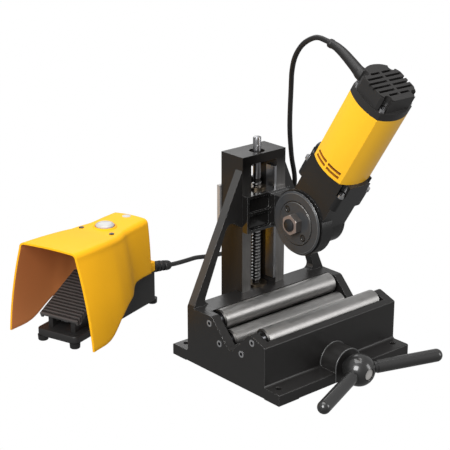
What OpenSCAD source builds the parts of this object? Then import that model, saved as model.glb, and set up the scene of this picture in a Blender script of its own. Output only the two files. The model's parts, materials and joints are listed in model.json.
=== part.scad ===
// Bench pipe cutting machine: roller base, column with a hand-cranked lead screw,
// motor-driven cutting wheel on a sliding carriage, and a hooded foot switch on a cord.
// Millimetres. The origin is the centre of the bench bolt pattern on the underside,
// +X along the rollers, +Y towards the column, +Z up.

/* [Base casting] */
// Width of the base along the rollers
base_w = 260; // [250:1:300]
// Depth of the base block without its flanges
block_d = 165; // [162:1:175]
// Height of the block behind the rollers
block_h = 87; // [86:0.5:92]
// Height of the block's front face
front_h = 76; // [74:0.5:78]
// Thickness of the bolting flanges
flange_t = 16.7; // [14:0.1:18]
// Depth of the front flange
front_flange_d = 30; // [28:1:36]
// Depth of the back flange
back_flange_d = 34.4; // [32:0.1:40]
// Thickness of the end walls that carry the roller axles
end_wall_t = 14; // [12:0.5:15]
// Thickness of the side walls and the roof round the hollow underside
shell_t = 9; // [7:0.5:10]
// Length of the corner foot pads
pad_l = 38; // [30:1:45]
// Height of the foot pads under the rest of the underside
pad_h = 1; // [0.8:0.1:1.5]
// Bench bolt spacing along the rollers
bolt_span_x = 230; // [224:1:234]
// Bench bolt spacing across the rollers
bolt_span_y = 200; // [196:1:204]
// Diameter of the bench bolt holes
bolt_hole_d = 9; // [7:0.5:11]
// Distance from the block's front face to the front bolt holes
bolt_in = 13; // [11:0.5:16]
// Radius of the boss round the handle shaft
boss_r = 25.5; // [24:0.5:28]
// Height of the gusset tops on the column
gusset_top = 275; // [262:1:280]
// Thickness of the gussets
gusset_t = 14; // [10:1:14]
// Width of a gusset arm
gusset_arm = 18; // [14:1:24]
// Height of the arch inside the gussets
arch_z = 206; // [190:1:210]

/* [Rollers] */
// Diameter of the pipe rollers
roller_d = 30; // [28:0.5:30.5]
// Distance from the block's front face to the middle of the V
v_in = 71; // [70:0.5:72]
// Sideways offset of the upper rollers from the middle
upper_off = 45.2; // [44:0.1:46]
// Height of the upper roller axes
upper_z = 75.8; // [75:0.1:76.5]
// Sideways offset of the lower rollers from the middle
lower_off = 23.3; // [22.5:0.1:24]
// Height of the lower roller axes
lower_z = 51.7; // [51:0.1:52.5]
// Gap between a roller's end and the end wall
roller_end_gap = 5; // [3:0.5:7]
// Wall thickness of the roller tubes
roller_wall = 4; // [3:0.5:4.5]
// Diameter of the roller axles
axle_d = 10; // [8:0.5:11]

/* [Column] */
// Width of the column
col_w = 84; // [82:1:88]
// Depth of the column
col_d = 46.6; // [44:0.2:48]
// Height of the column's top
col_h = 294.6; // [290:0.2:300]
// How far the column stands in the back of the block
col_in = 15; // [14.5:0.5:18]
// Sideways offset of the column and the screw from the middle
col_x = 4; // [0:0.5:6]
// Width of the window between the column's two bars
window_w = 50; // [48:1:52]
// Height of the window's top
window_top = 281.5; // [280:0.5:284]
// Width of the guide lips behind the window
lip_w = 10.5; // [10:0.25:12]
// Depth of the guide lips
lip_d = 9; // [7:0.5:10]
// Height of the guide lips' tops
lip_top = 246; // [242:1:250]
// Thickness of the guide gib on the right bar
gib_t = 4.6; // [4:0.1:6]
// Depth of the guide gib
gib_d = 18; // [15:1:20]
// Height of the guide gib's top
gib_top = 270; // [266:1:274]

/* [Lead screw] */
// Outer diameter of the screw's thread
screw_d = 14; // [12:0.5:16]
// Travel of the carriage in one turn
screw_pitch = 5; // [4:0.5:6]
// Diameter of the screw's smooth top
screw_top_d = 12; // [10:0.5:13]
// Height of the screw's top
screw_top = 315.4; // [308:0.2:320]
// Height where the thread ends
thread_top = 253; // [250:1:262]
// Distance from the column's front face to the screw axis
screw_in = 16; // [15.5:0.5:18]
// Height of the handle shaft's axis
crank_z = 21.4; // [20.5:0.1:22]
// Number of teeth on each mitre gear
mitre_teeth = 16; // [12:1:20]
// Pitch radius of the mitre gears
mitre_r = 14; // [13:0.25:14.5]

/* [Handle] */
// Diameter of the handle's ball hub
hub_d = 47; // [44:0.5:50]
// Distance from the boss face to the middle of the hub
hub_out = 20.4; // [18:0.2:24]
// Diameter of the handle arms
arm_d = 19; // [16:0.5:21]
// Distance from the hub's middle to an arm's end ball
arm_l = 121; // [100:1:140]
// Forward sweep of the arms in degrees
arm_sweep = 21.5; // [10:0.5:25]
// Roll of the arms at rest in degrees
arm_roll = 2; // [0:0.5:8]

/* [Carriage] */
// Height of the carriage
car_h = 56; // [52:1:58]
// Height of the cutting unit's axis at rest
head_z = 210; // [206:1:212]
// How far the carriage stands in front of the column
car_front = 10.7; // [9:0.1:12]
// Depth of the pockets in the carriage face
pocket_d = 5; // [3:0.5:6]
// Thickness of the keeper plate behind the column
keeper_t = 6; // [5:0.5:8]
// Width of the keeper plate
keeper_w = 90; // [84:1:92]

/* [Cutting unit] */
// Diameter of the cutting wheel
wheel_d = 93; // [84:1:93]
// Thickness of the cutting wheel at its hub
wheel_t = 5; // [4:0.5:6]
// Sideways place of the cutting wheel's edge
wheel_x = -6; // [-8:0.5:-5]
// Radius of the round boss behind the wheel
nose_r = 48.5; // [48:0.5:49]
// Radius of the gear housing's drum behind the boss
drum_r = 38.5; // [37:0.5:40]
// Sideways place of the gear housing's far side
drum_end = 54; // [52:0.5:58]
// Forward lean of the motor in degrees
motor_lean = 32; // [30:0.5:34]
// Sideways place of the motor's axis
motor_x = 23.5; // [22.5:0.5:24.5]
// Half width of the motor housing's flats
motor_r = 37; // [36:0.5:38]
// Distance from the wheel axis to the motor housing
motor_s0 = 110.5; // [108:0.5:114]
// Length of the motor housing
motor_l = 120.5; // [112:0.5:126]
// Length of the motor's end cap
cap_l = 34; // [32:0.5:38]
// Wall thickness of the motor housing and end cap
motor_wall = 3; // [2.5:0.25:3.5]
// Radius of the round end cap
cap_r = 38; // [37.5:0.25:39]
// Width across the flats of the wheel nut
nut_af = 27; // [24:1:27]

/* [Foot switch] */
// Place of the foot switch's front feet across the machine
foot_x = -236.9; // [-250:0.1:-225]
// Place of the foot switch's front feet along the machine
foot_y = 253.3; // [240:0.1:265]
// Turn of the foot switch in degrees
foot_turn = 17.8; // [14:0.2:22]
// Length between the front and the back feet
foot_l = 205; // [200:1:210]
// Half distance between the left and the right feet
foot_half = 30; // [28:0.5:31]
// Half width of the black body
body_half = 38.5; // [37.5:0.25:40]
// Height of the black body's top edge at the back
body_top = 57; // [56:0.5:60]
// Height of the hood's top over the pedal
hood_top = 156; // [150:1:160]
// Height of the hood's top over the switch body
hood_back_top = 148; // [146:0.5:150]
// Half width of the hood's mouth at its foot
mouth_half = 78.7; // [74:0.1:82]
// Half width of the hood's mouth at its top
mouth_top_half = 52.6; // [50:0.1:56]
// Wall thickness of the hood
hood_t = 3.2; // [2.5:0.1:3.6]
// Half width of the pedal
pedal_half = 35; // [32:0.5:35.5]
// Height of the pedal's front edge
pedal_z = 42; // [40:0.5:44]
// Slope of the pedal in degrees
pedal_slope = 25; // [22:0.5:27]
// Diameter of the stop button
button_d = 30; // [26:0.5:32]

/* [Cord] */
// Diameter of the cord
cord_d = 7.5; // [7:0.1:7.5]
// Radius of the coil's outer loop, at the cord's middle
coil_r = 48; // [46:0.5:50]

/* [Hidden] */
$fn = 64;
// Overrun of a cut, clearance of a shaft in its bore, and gap between pieces that move apart
over = 1;
run = 0.05;
seat = 0.3;
// Rounding of a casting's outer edges and inner corners
edge_r = 2;
corner_r = 8;
// Steps of a rounded corner
corner_steps = 5;
// Colours
iron = "#2b2c2e";
steel = "#8d8f90";
bright = "#c9cacb";
yellow = "#f3b61c";
rubber = "#232426";

// Share of the corner radius at the trough's front lip
lip_share = 0.8;
// Places of the base
half_w = base_w / 2;
front_y = -bolt_span_y / 2 + bolt_in;
back_y = front_y + block_d;
front_edge = front_y - front_flange_d;
back_edge = back_y + back_flange_d;
v_y = front_y + v_in;
wall_x = half_w - end_wall_t;
roller_r = roller_d / 2;
pocket_r = roller_r + edge_r;
notch_half = 40;
notch_z = 45.4;
roof_z = lower_z - pocket_r - shell_t + edge_r;
AXES = [
    [v_y + upper_off, upper_z],
    [v_y + lower_off, lower_z],
    [v_y - lower_off, lower_z],
    [v_y - upper_off, upper_z]
];

// Places of the column and the lead screw
col_front = back_y - col_in;
col_back = col_front + col_d;
gusset_front = back_y - gusset_t;
bar_w = (col_w - window_w) / 2;
screw_r = screw_d / 2;
top_r = screw_top_d / 2;
screw_y = col_front + screw_in;
// Depth of the mitre gears' teeth, length of their faces, and their outer radius
add_share = 0.08;
ded_share = 0.14;
face_share = 0.5;
hub_share = 0.6;
tooth_share = 0.4;
crank_r = 8;
bolt_r = 4;
arch_share = 0.27;
arm_taper = 0.7;
mitre_back = mitre_r * (1 + add_share);
hub_r_share = 0.72;
hub_r = mitre_r * hub_r_share;
hub_len = mitre_r * hub_share;
chamber_r = mitre_back + edge_r;
chamber_top = crank_z + mitre_r + hub_len + edge_r;
bush_t = 5;
flange_h = 3;
journal_r = top_r;

bush_r = crank_r + bush_t;
hub_web = bush_r + bush_t / 2;
bolt_deep = 14;
bolt_in_col = bar_w / 2;
// Places of the column bolts across and up
COL_BOLTS = [for (x = [-1, 1], z = [crank_z + bolt_deep,
    upper_z - corner_r]) [col_x + x * (col_w / 2 - bolt_in_col), z]];

// Places of the carriage and the cutting unit
car_y = col_front - car_front;
car_z = head_z - car_h / 2;
tongue_w = window_w - 2 * seat;
neck_w = window_w - 2 * lip_w - 2 * seat;
lip_y = col_back - lip_d;
wheel_r = wheel_d / 2;
motor_s1 = motor_s0 + motor_l;
motor_s2 = motor_s1 + cap_l;

// A moved frame for the cutting unit: x across, y towards the motor's back, z along the motor
module motor_frame() translate([motor_x, v_y, head_z]) rotate([motor_lean, 0, 0]) children();

// The crank shaft's frame: z runs forwards out of the base
module crank_frame() translate([col_x, screw_y, crank_z]) rotate([90, 0, 0]) children();

// The foot switch's frame: x runs from its mouth to its back
module foot_frame() translate([foot_x, foot_y, 0]) rotate([0, 0, foot_turn]) children();

// An outline in Y and Z drawn out along X about its middle
module along_x(length) rotate([90, 0, 90]) linear_extrude(length, center = true) children();

// An outline in X and Z drawn out along Y from y0
module along_y(y0, length) translate([0, y0 + length, 0]) rotate([90, 0, 0])
    linear_extrude(length) children();

// A tube or a disc from z0 up
module ring(z0, length, outer, inner = 0) translate([0, 0, z0]) difference() {
    cylinder(h = length, r = outer);
    if (inner > 0) translate([0, 0, -over]) cylinder(h = length + 2 * over, r = inner);
}

// A box with its middle at x, y and its foot at z0
module slab(size, x = 0, y = 0, z0 = 0) translate([x - size[0] / 2, y - size[1] / 2, z0]) cube(size);

// One rounded corner of an outline: p is the corner, a and b its neighbours
function unit(v) = v / norm(v);
function bend(p, a, b, r) = let (
    u = unit(a - p), v = unit(b - p), half = acos(max(-1, min(1, u * v))) / 2,
    c = p + unit(u + v) * r / sin(half), s = p + u * r / tan(half), e = p + v * r / tan(half),
    a0 = atan2(s[1] - c[1], s[0] - c[0]), a1 = atan2(e[1] - c[1], e[0] - c[0]),
    turn = ((a1 - a0 + 540) % 360) - 180)
    [for (i = [0:corner_steps]) c + r * [cos(a0 + turn * i / corner_steps),
        sin(a0 + turn * i / corner_steps)]];

// An outline of [x, y, radius] points with its corners rounded
function rounded(pts) = let (n = len(pts)) [
    for (i = [0:n - 1]) let (p = pts[i], a = pts[(i + n - 1) % n], b = pts[(i + 1) % n])
        each p[2] > 0 ? bend([p[0], p[1]], [a[0], a[1]], [b[0], b[1]], p[2]) : [[p[0], p[1]]]
];

// A rounded rectangle about the origin
function plate(w, d, r) = rounded([[-w / 2, -d / 2, r], [w / 2, -d / 2, r], [w / 2, d / 2, r],
    [-w / 2, d / 2, r]]);

// A square with bulged sides: m is half its width at the sides' middles, c at its corners
function bulged(m, c) = let (r = (c * c + (m - c) * (m - c)) / (2 * (m - c)), h = asin(c / r), n = 6) [
    for (k = [0:3]) for (i = [0:n - 1]) let (a = -h + 2 * h * i / n, x = m - r + r * cos(a), y = r * sin(a))
        [x * cos(90 * k) - y * sin(90 * k), x * sin(90 * k) + y * cos(90 * k)]
];

// The base's outline in Y and Z: flanges, block, bevelled front and V notch
BASE_OUTLINE = [
    [front_edge, pad_h, 0],
    [back_edge, pad_h, 0],
    [back_edge, flange_t, edge_r],
    [back_y, flange_t, 2 * edge_r],
    [back_y, block_h, edge_r],
    [v_y + notch_half, block_h, corner_r],
    [v_y, notch_z, corner_r],
    [v_y - notch_half, block_h, corner_r * lip_share],
    [front_y, front_h, edge_r],
    [front_y, flange_t, 2 * edge_r],
    [front_edge, flange_t, edge_r]
];

// One gusset's outline in X and Z, for the side given by its foot's and its top's x
function gusset_outer(foot, top) = [
    [foot, block_h - edge_r], [foot, block_h], [top, gusset_top], [top, block_h - edge_r]
];
function gusset_window(foot, top) = let (s = sign(foot - top), arm = gusset_arm * s) [
    [foot - arm, block_h, corner_r],
    [top + (foot - top) * arch_share, arch_z, corner_r * 3 / 2],
    [top - over * s, arch_z - gusset_arm, 0],
    [top - over * s, block_h, 0]
];

module base_casting() color(iron) difference() {
    union() {
        along_x(base_w) polygon(rounded(BASE_OUTLINE));
        for (x = [-1, 1], y = [front_edge, back_edge - front_flange_d])
            translate([x > 0 ? half_w - pad_l : -half_w, y, 0]) cube([pad_l, front_flange_d, pad_h + over]);
        along_y(gusset_front, gusset_t) gusset_shape(-half_w, col_x - col_w / 2);
        along_y(gusset_front, gusset_t) gusset_shape(half_w, col_x + col_w / 2);
        crank_frame() ring(screw_y - front_y - over, front_flange_d + over, boss_r);
        translate([col_x - boss_r, front_edge, pad_h]) cube([2 * boss_r, front_flange_d, crank_z]);
    }
    // roller trough between the end walls
    along_x(2 * wall_x) union() {
        for (a = AXES) translate(a) circle(r = pocket_r);
        polygon([AXES[0], AXES[1], AXES[2], AXES[3], [AXES[3][0], base_w], [AXES[0][0], base_w]]);
    }
    // seat of the column
    translate([col_x - col_w / 2 - seat / 2, col_front, flange_t])
        cube([col_w + seat, col_d + seat, gusset_top]);
    // hollow underside, with a web left round the crank shaft
    difference() {
        translate([-wall_x, front_y + shell_t, -over])
            cube([2 * wall_x, col_front - shell_t - front_y - shell_t, roof_z + over]);
        slab([2 * hub_web, block_d, roof_z], col_x, front_y + block_d / 2, crank_z - hub_web);
    }
    // chamber of the mitre gears
    translate([col_x - chamber_r, screw_y - mitre_r - hub_len - edge_r, -over])
        cube([2 * chamber_r, mitre_r + hub_len + edge_r + chamber_r, chamber_top + over]);
    crank_frame() ring(0, screw_y - front_edge + over, bush_r);
    for (x = [-1, 1], y = [-1, 1]) translate([x * bolt_span_x / 2, y * bolt_span_y / 2, -over])
        cylinder(h = flange_t + 2 * over, d = bolt_hole_d);
    // bores of the roller axles and their screw heads
    for (a = AXES) along_bore(a, base_w + 2 * over, axle_d / 2 + run);
    // threaded holes of the column bolts
    for (p = COL_BOLTS) translate([p[0], col_front - bolt_deep, p[1]]) rotate([-90, 0, 0])
        cylinder(h = bolt_deep + over, r = bolt_r + run);
}

module along_bore(a, length, r) translate([0, a[0], a[1]]) rotate([0, 90, 0]) cylinder(h = length, r = r,
    center = true);

module gusset_shape(foot, top) difference() {
    polygon(gusset_outer(foot, top));
    polygon(rounded(gusset_window(foot, top)));
}

module column() color(iron) difference() {
    translate([col_x - col_w / 2, col_front, flange_t]) cube([col_w, col_d, col_h - flange_t]);
    // window, narrowed at the back by the two guide lips
    window(window_w, col_front - over, lip_y, block_h);
    window(window_w - 2 * lip_w, lip_y - over, col_back + over, block_h);
    window(window_w, lip_y - over, col_back + over, lip_top, lip_top + lip_gap);
    // bores of the lead screw's bearings
    screw_frame() cylinder(h = window_top, r = bush_r);
    screw_frame() translate([0, 0, window_top - over]) cylinder(h = col_h, r = top_bore_r);
    // chamber of the mitre gears
    slab([2 * chamber_r, 2 * chamber_r, chamber_top + over], col_x, screw_y, -over);
    for (p = COL_BOLTS) translate([p[0], col_front - over, p[1]]) rotate([-90, 0, 0]) {
        cylinder(h = col_d + 2 * over, r = bolt_r + run);
        translate([0, 0, col_d + over - head_h]) cylinder(h = head_h + over, r = head_r + seat);
    }
}
head_h = 8;
head_r = 6.5;
top_bore_r = 11.5;

module screw_frame() translate([col_x, screw_y, 0]) children();

module window(w, y0, y1, z0, z1 = window_top) translate([col_x - w / 2, y0, z0]) cube([w, y1 - y0, z1 - z0]);
lip_gap = 16;

module guide_gib() color(steel) translate([col_x + window_w / 2 - gib_t, col_front, block_h + corner_r])
    cube([gib_t, gib_d, gib_top - block_h - corner_r]);

// A socket head screw: z runs out of its head
module cap_screw(r, length, hr, hh) difference() {
    union() {
        translate([0, 0, -length]) cylinder(h = length, r = r);
        cylinder(h = hh, r = hr);
    }
    translate([0, 0, hh * socket_share]) cylinder(h = hh, r = r * socket_share, $fn = 6);
}
socket_share = 0.6;

module column_bolts() color(steel) for (p = COL_BOLTS)
    translate([p[0], col_back - head_h, p[1]]) rotate([-90, 0, 0])
        cap_screw(bolt_r, col_d - head_h + bolt_deep - over, head_r, head_h - over);

// Rollers, their axles and bearings
module roller(i) color(steel) translate([0, AXES[i][0], AXES[i][1]]) rotate([0, 90, 0]) difference() {
    union() {
        cylinder(h = roller_l - 2 * edge_r, r = roller_r, center = true);
        for (m = [0, 1]) mirror([0, 0, m]) translate([0, 0, roller_l / 2 - edge_r])
            cylinder(h = edge_r, r1 = roller_r, r2 = roller_r - edge_r);
    }
    cylinder(h = roller_l + over, r = roller_r - roller_wall, center = true);
}
roller_l = 2 * (wall_x - roller_end_gap);
module rear_upper_roller() roller(0);
module rear_lower_roller() roller(1);
module front_lower_roller() roller(2);
module front_upper_roller() roller(3);

module on_axes() for (a = AXES) translate([0, a[0], a[1]]) rotate([0, 90, 0]) children();

module roller_axles() color(bright) on_axes() difference() {
    cylinder(h = base_w - 2 * screw_cap, r = axle_d / 2, center = true);
    cylinder(h = base_w, r = axle_d / 4, center = true);
}
screw_cap = 4;

module axle_screws() color(bright) on_axes() for (m = [0, 1]) mirror([0, 0, m])
    translate([0, 0, half_w - screw_cap]) ring(0, screw_cap + over / 2, axle_d / 2, axle_d / 4);

bearing_l = 9;
module roller_bearings() color(steel) on_axes() for (m = [0, 1]) mirror([0, 0, m])
    ring(roller_l / 2 - bearing_l - over, bearing_l, roller_r - roller_wall - run, axle_d / 2 + run / 2);

// Crank drive
bush_l = 24;
module crank_bushes() color("#a8823c") crank_frame() {
    ring(screw_y - front_edge - bush_l, bush_l, bush_r, crank_r + run);
    ring(screw_y - col_front + bolt_deep, bush_l, bush_r, crank_r + run);
}

// A mitre gear about z with its apex at the origin
root_share = 1.3;
tip_share = 0.7;
function teeth(n, r, add, ded, share) = [for (i = [0:n - 1], k = [[-1, root_share], [-1, tip_share],
    [1, tip_share], [1, root_share]])
    let (a = 360 / n * (i + k[0] * k[1] * share / 2), q = k[1] > 1 ? r - ded : r + add) [q * cos(a),
        q * sin(a)]];

module mitre_gear(bore) difference() {
    union() {
        translate([0, 0, mitre_r]) mirror([0, 0, 1]) linear_extrude(mitre_r * face_share,
            scale = 1 - face_share)
            polygon(teeth(mitre_teeth, mitre_r, mitre_r * add_share, mitre_r * ded_share, tooth_share));
        translate([0, 0, mitre_r]) cylinder(h = hub_len, r = hub_r);
    }
    cylinder(h = mitre_r + hub_len + over, r = bore);
}

module crank_gear() color(steel) crank_frame()
    rotate([0, 0, 180 / mitre_teeth]) mitre_gear(crank_r * end_share + run);
end_share = 0.75;

module screw_gear() color(steel) screw_frame() translate([0, 0, crank_z]) mitre_gear(journal_r + run);

module crank_shaft() color(steel) crank_frame() {
    translate([0, 0, gear_in]) cylinder(h = mitre_r + hub_len - gear_in, r = crank_r * end_share);
    translate([0, 0, mitre_r + hub_len]) cylinder(h = hub_z - crank_end - mitre_r - hub_len, r = crank_r);
}
gear_in_share = 0.62;
gear_in = mitre_r * gear_in_share;
hub_z = screw_y - front_edge + hub_out;
crank_end = 2;

module crank_hub() color(iron) crank_frame() difference() {
    union() {
        intersection() {
            translate([0, 0, hub_z]) sphere(d = hub_d);
            translate([0, 0, hub_z - hub_out + over]) cylinder(h = hub_d, r = hub_d);
        }
        translate([0, 0, hub_z - hub_out + over]) cylinder(h = hub_out, r = hub_d * neck_share);
    }
    translate([0, 0, hub_z - hub_d]) cylinder(h = hub_d - crank_end + run, r = crank_r + run);
    translate([0, 0, hub_z + hub_d / 2 - disc_in - disc_t]) cylinder(h = hub_d, r = disc_r + seat);
    translate([0, 0, hub_z - crank_end]) cylinder(h = hub_d / 2, r = disc_stem_r + run);
    arms_frame() translate([0, 0, hub_d / 2 - stud_l]) cylinder(h = hub_d, r = stud_r + run);
    arms_frame() translate([0, 0, hub_d / 2 - over]) cylinder(h = arm_l, r = arm_d / 2 + run);
}
neck_share = 0.3;
disc_r = 8.5;
stud_r = 5;
stud_l = 9;

// The two arm axes: z runs outwards from the hub's middle
module arms_frame() translate([0, 0, hub_z]) for (s = [0, 1])
    rotate([0, 0, arm_roll]) mirror([s, 0, 0]) rotate([0, 90 - arm_sweep, 0]) children();

module crank_arms() color(iron) crank_frame() arms_frame() {
    translate([0, 0, hub_d / 2 - stud_l + run]) cylinder(h = stud_l, r = stud_r);
    translate([0, 0, hub_d / 2 - over + run]) cylinder(h = groove_l, r = arm_d / 2 - edge_r / 2);
    translate([0, 0, hub_d / 2 - over + groove_l]) cylinder(h = arm_l - hub_d / 2 + over - groove_l,
        r = arm_d / 2);
    translate([0, 0, arm_l]) sphere(d = arm_d);
}
groove_l = 5;

module hub_disc() color(bright) crank_frame() {
    translate([0, 0, hub_z - crank_end]) cylinder(h = hub_d / 2 - disc_in + crank_end - disc_t / 2,
        r = disc_stem_r);
    translate([0, 0, hub_z + hub_d / 2 - disc_in - disc_t]) cylinder(h = disc_t, r = disc_r);
}
disc_in = 4.5;
disc_t = 4;
disc_stem_r = 4.5;

// Lead screw and its bearings
screw_foot = crank_z + gear_in;
thread_foot = block_h + flange_h + 2 * run;
module lead_screw() color(bright) screw_frame() difference() {
    union() {
        translate([0, 0, screw_foot]) cylinder(h = block_h + flange_h - screw_foot, r = journal_r);
        translate([0, 0, thread_foot]) cylinder(h = thread_top - thread_foot, r = screw_r);
        translate([0, 0, thread_top]) cylinder(h = screw_top - thread_top, r = top_r);
    }
    translate([0, 0, screw_top - hole_down]) rotate([0, 90, 45]) cylinder(h = screw_d * 2, r = hole_r,
        center = true);
}
hole_down = 12;
hole_r = 2;

module screw_bearing() color("#a8823c") screw_frame() {
    ring(chamber_top + over, block_h - chamber_top - over, bush_r, journal_r + run);
    ring(block_h, flange_h, bush_r + flange_h, journal_r + run);
}

module top_bush() color("#a8823c") screw_frame() ring(window_top, col_h - window_top - bush_t, top_bore_r,
    top_r + run);

// Carriage
nut_r = 11;
arm_x0 = 8;
arm_edge = 4;
saddle_y = car_y - corner_r;
rib_h = 4;
m5_r = 2.5;
m5_head = 4.3;
m5_l = 14;
KEEPER_SCREWS = [for (x = [-1, 1]) [col_x + x * neck_w / 3, car_z + car_h / 2]];

module carriage() color("#17181a") difference() {
    union() {
        translate([col_x - col_w / 2, car_y, car_z]) cube([col_w, car_front - seat, car_h]);
        translate([col_x - tongue_w / 2, col_front - over, car_z])
            cube([tongue_w, lip_y - seat - col_front + over, car_h]);
        translate([col_x - neck_w / 2, lip_y - over, car_z]) cube([neck_w, lip_d + over + seat, car_h]);
        translate([arm_x0, saddle_y, car_z + arm_edge])
            cube([col_x + col_w / 2 - arm_x0, car_y - saddle_y + over, car_h - 2 * arm_edge]);
    }
    translate([col_x + window_w / 2 - gib_t - seat, col_front - seat, car_z - over])
        cube([gib_t + over, gib_d + 2 * seat, car_h + 2 * over]);
    // pockets between the ribs of the face
    for (z = [0, 1]) along_y(car_y - over, pocket_d + over)
        translate([(col_x - col_w / 2 + rib_h + arm_x0) / 2,
            car_z + rib_h + pocket_h / 2 + z * (pocket_h + rib_h)])
            polygon(plate(arm_x0 - col_x + col_w / 2 - rib_h, pocket_h, rib_h));
    screw_frame() translate([0, 0, car_z - over]) cylinder(h = car_h + 2 * over, r = nut_r);
    for (p = KEEPER_SCREWS) translate([p[0], col_back - m5_l, p[1]]) rotate([-90, 0, 0])
        cylinder(h = m5_l + over, r = m5_r);
}
pocket_h = (car_h - 3 * rib_h) / 2;

module screw_nut() color("#a8823c") screw_frame() {
    ring(car_z, car_h, nut_r, screw_r + run);
    ring(car_z + car_h, flange_h, nut_r + flange_h, screw_r + run);
}

module keeper_plate() color(steel) difference() {
    translate([col_x - keeper_w / 2, col_back + seat, car_z]) cube([keeper_w, keeper_t, car_h + bush_t]);
    for (p = KEEPER_SCREWS) translate([p[0], col_back, p[1]]) rotate([-90, 0, 0])
        cylinder(h = keeper_t + over, r = m5_r);
}

// Cutting unit
nose_x0 = wheel_x + arm_edge;
wheel_z0 = -wheel_x - wheel_t / 2;
wheel_z1 = wheel_z0 + wheel_t;
nose_x1 = 18;
cover_x = drum_end - corner_r;
neck_half = 34;
neck_top = 66;
flange_w = 60;
flange_half = 42;
lobe_half = 18;
screw_x = 25;
screw_w = 38;
screw_s = 92;
shaft_r = 10;
counter_s = 36;
counter_r = 5;
crown_teeth = 48;
pinion_teeth = 8;
crown_r = 24;
pinion_r = crown_r * pinion_teeth / crown_teeth;
spur_teeth = 12;
wheel_gear_teeth = 48;
spur_r = counter_s * spur_teeth / (spur_teeth + wheel_gear_teeth);
wheel_gear_r = counter_s - spur_r;
gear_x0 = 2.5;
gear_l = 10;
crown_face_share = 1.3;
crown_face = pinion_r * crown_face_share;
crown_tip_share = 0.8;
crown_tip = pinion_r * crown_tip_share;
crown_l = 7;
rotor_r = 5;
housing_gap = 4;
cavity_r = 31;
screw_ring = 34;
driver_r = 31;
driver_t = 5;
pin_r = 3;
pin_at = 24;
pin_turn = 42;
hub_step_share = 0.667;
rim_share = 0.94;

module x_disc(x0, x1, r) translate([x0, v_y, head_z]) rotate([0, 90, 0]) cylinder(h = x1 - x0, r = r);

// The counter shaft's frame: z runs across to the cutting wheel's side, x up along the motor
module counter_frame() motor_frame() translate([0, 0, counter_s]) rotate([0, -90, 0]) children();

// The wheel shaft's frame: z runs out towards the wheel nut
module wheel_frame() translate([0, v_y, head_z]) rotate([0, -90, 0]) children();

module neck_box(x0, x1, half, s0, s1) motor_frame()
    translate([x0 - motor_x, -half, s0]) cube([x1 - x0, 2 * half, s1 - s0]);

// The drum and the neck above it, as one outline drawn out across
module drum_and_neck(x0, x1, top) motor_frame()
    translate([x0 - motor_x, 0, 0]) along_x_from(x1 - x0) union() {
    circle(r = drum_r);
    translate([-neck_half, 0]) square([2 * neck_half, top]);
}

module flange_corners() motor_frame() for (x = [-1, 1], w = [-1, 1])
    translate([x * screw_x, w * screw_w, 0]) children();

module gear_housing() color(iron) difference() {
    union() {
        x_disc(nose_x0, nose_x1, nose_r);
        drum_and_neck(nose_x1 - over, cover_x, neck_top + over);
        neck_box(nose_x0 + over, nose_x1, neck_half, edge_r, neck_top + over);
        motor_frame() translate([0, 0, neck_top]) linear_extrude(motor_s0 - neck_top)
            polygon(plate(flange_w, 2 * flange_half, corner_r));
        // lobe that rises behind the motor
        motor_frame() translate([0, flange_half, 0]) rotate([90, 0, 0]) linear_extrude(flange_half - motor_r - over)
            polygon(rounded([
                [-lobe_half, neck_top + over, 0], [lobe_half, neck_top + over, 0],
                [lobe_half, motor_s0 + corner_r, corner_r - over], [-lobe_half, motor_s0 + corner_r, corner_r - over]
            ]));
        translate([arm_x0, v_y, car_z + arm_edge])
            cube([col_x + col_w / 2 - over - arm_x0, saddle_y - v_y, car_h - 2 * arm_edge]);
    }
    x_disc(nose_x1 + housing_gap, cover_x + over, cavity_r);
    counter_frame() translate([0, 0, motor_x - arm_x0 - over]) cylinder(h = arm_edge + over,
        r = counter_r + run);
    counter_frame() translate([0, 0, motor_x - cover_x - over])
        cylinder(h = cover_x - arm_x0 + over, r = crown_r + housing_gap);
    x_disc(nose_x0 - over, cover_x, shaft_r + run);
    x_disc(nose_x0 - over, nose_x0 + driver_t, driver_r + over);
    motor_frame() {
        translate([0, 0, counter_s]) cylinder(h = motor_s0, r = pinion_r + housing_gap);
        translate([0, 0, screw_s]) cylinder(h = motor_s0, r = nut_r);
    }
    flange_corners() translate([0, 0, screw_s]) cylinder(h = motor_s0, r = head_r);
    flange_corners() translate([0, 0, neck_top + over]) cylinder(h = motor_s0, r = m5_r + run);
    cover_screws() translate([0, 0, -cover_screw_l - over]) cylinder(h = drum_end, r = m5_r + run);
}

module gear_cover() color(iron) difference() {
    union() {
        drum_and_neck(cover_x, drum_end - over, neck_top - seat);
        x_disc(cover_x + over, drum_end, drum_r - over);
    }
    x_disc(cover_x - over, cover_x + arm_edge, shaft_r + run);
    counter_frame() translate([0, 0, motor_x - cover_x - arm_edge]) cylinder(h = arm_edge + over,
        r = counter_r + run);
    cover_screws() translate([0, 0, -drum_end]) cylinder(h = 2 * drum_end, r = m5_r + run);
}

// Places of the cover screws: z runs out of their heads
module cover_screws() translate([drum_end, v_y, head_z]) rotate([motor_lean, 0, 0])
    for (p = COVER_SCREWS) translate([p[1] > 0 ? -over : 0, p[0], p[1]]) rotate([0, 90, 0]) children();
COVER_SCREWS = [for (w = [-1, 1], s = [-1, 1]) s > 0
    ? [w * screw_ring * cos(45), neck_top - bush_t]
    : [w * screw_ring * cos(45), -screw_ring * cos(45)]];
cover_screw_l = 14;

module m5_screws() color(bright) {
    for (p = KEEPER_SCREWS) translate([p[0], col_back + seat + keeper_t, p[1]]) rotate([-90, 0, 0])
        cap_screw(m5_r, m5_l, m5_head, m5_r);
    cover_screws() cap_screw(m5_r, cover_screw_l, m5_head, m5_r);
}

module flange_screws() color(bright) flange_corners() translate([0, 0, screw_s])
    cap_screw(m5_r, screw_s - neck_top - 2 * over, head_r - edge_r, bush_t);

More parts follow.
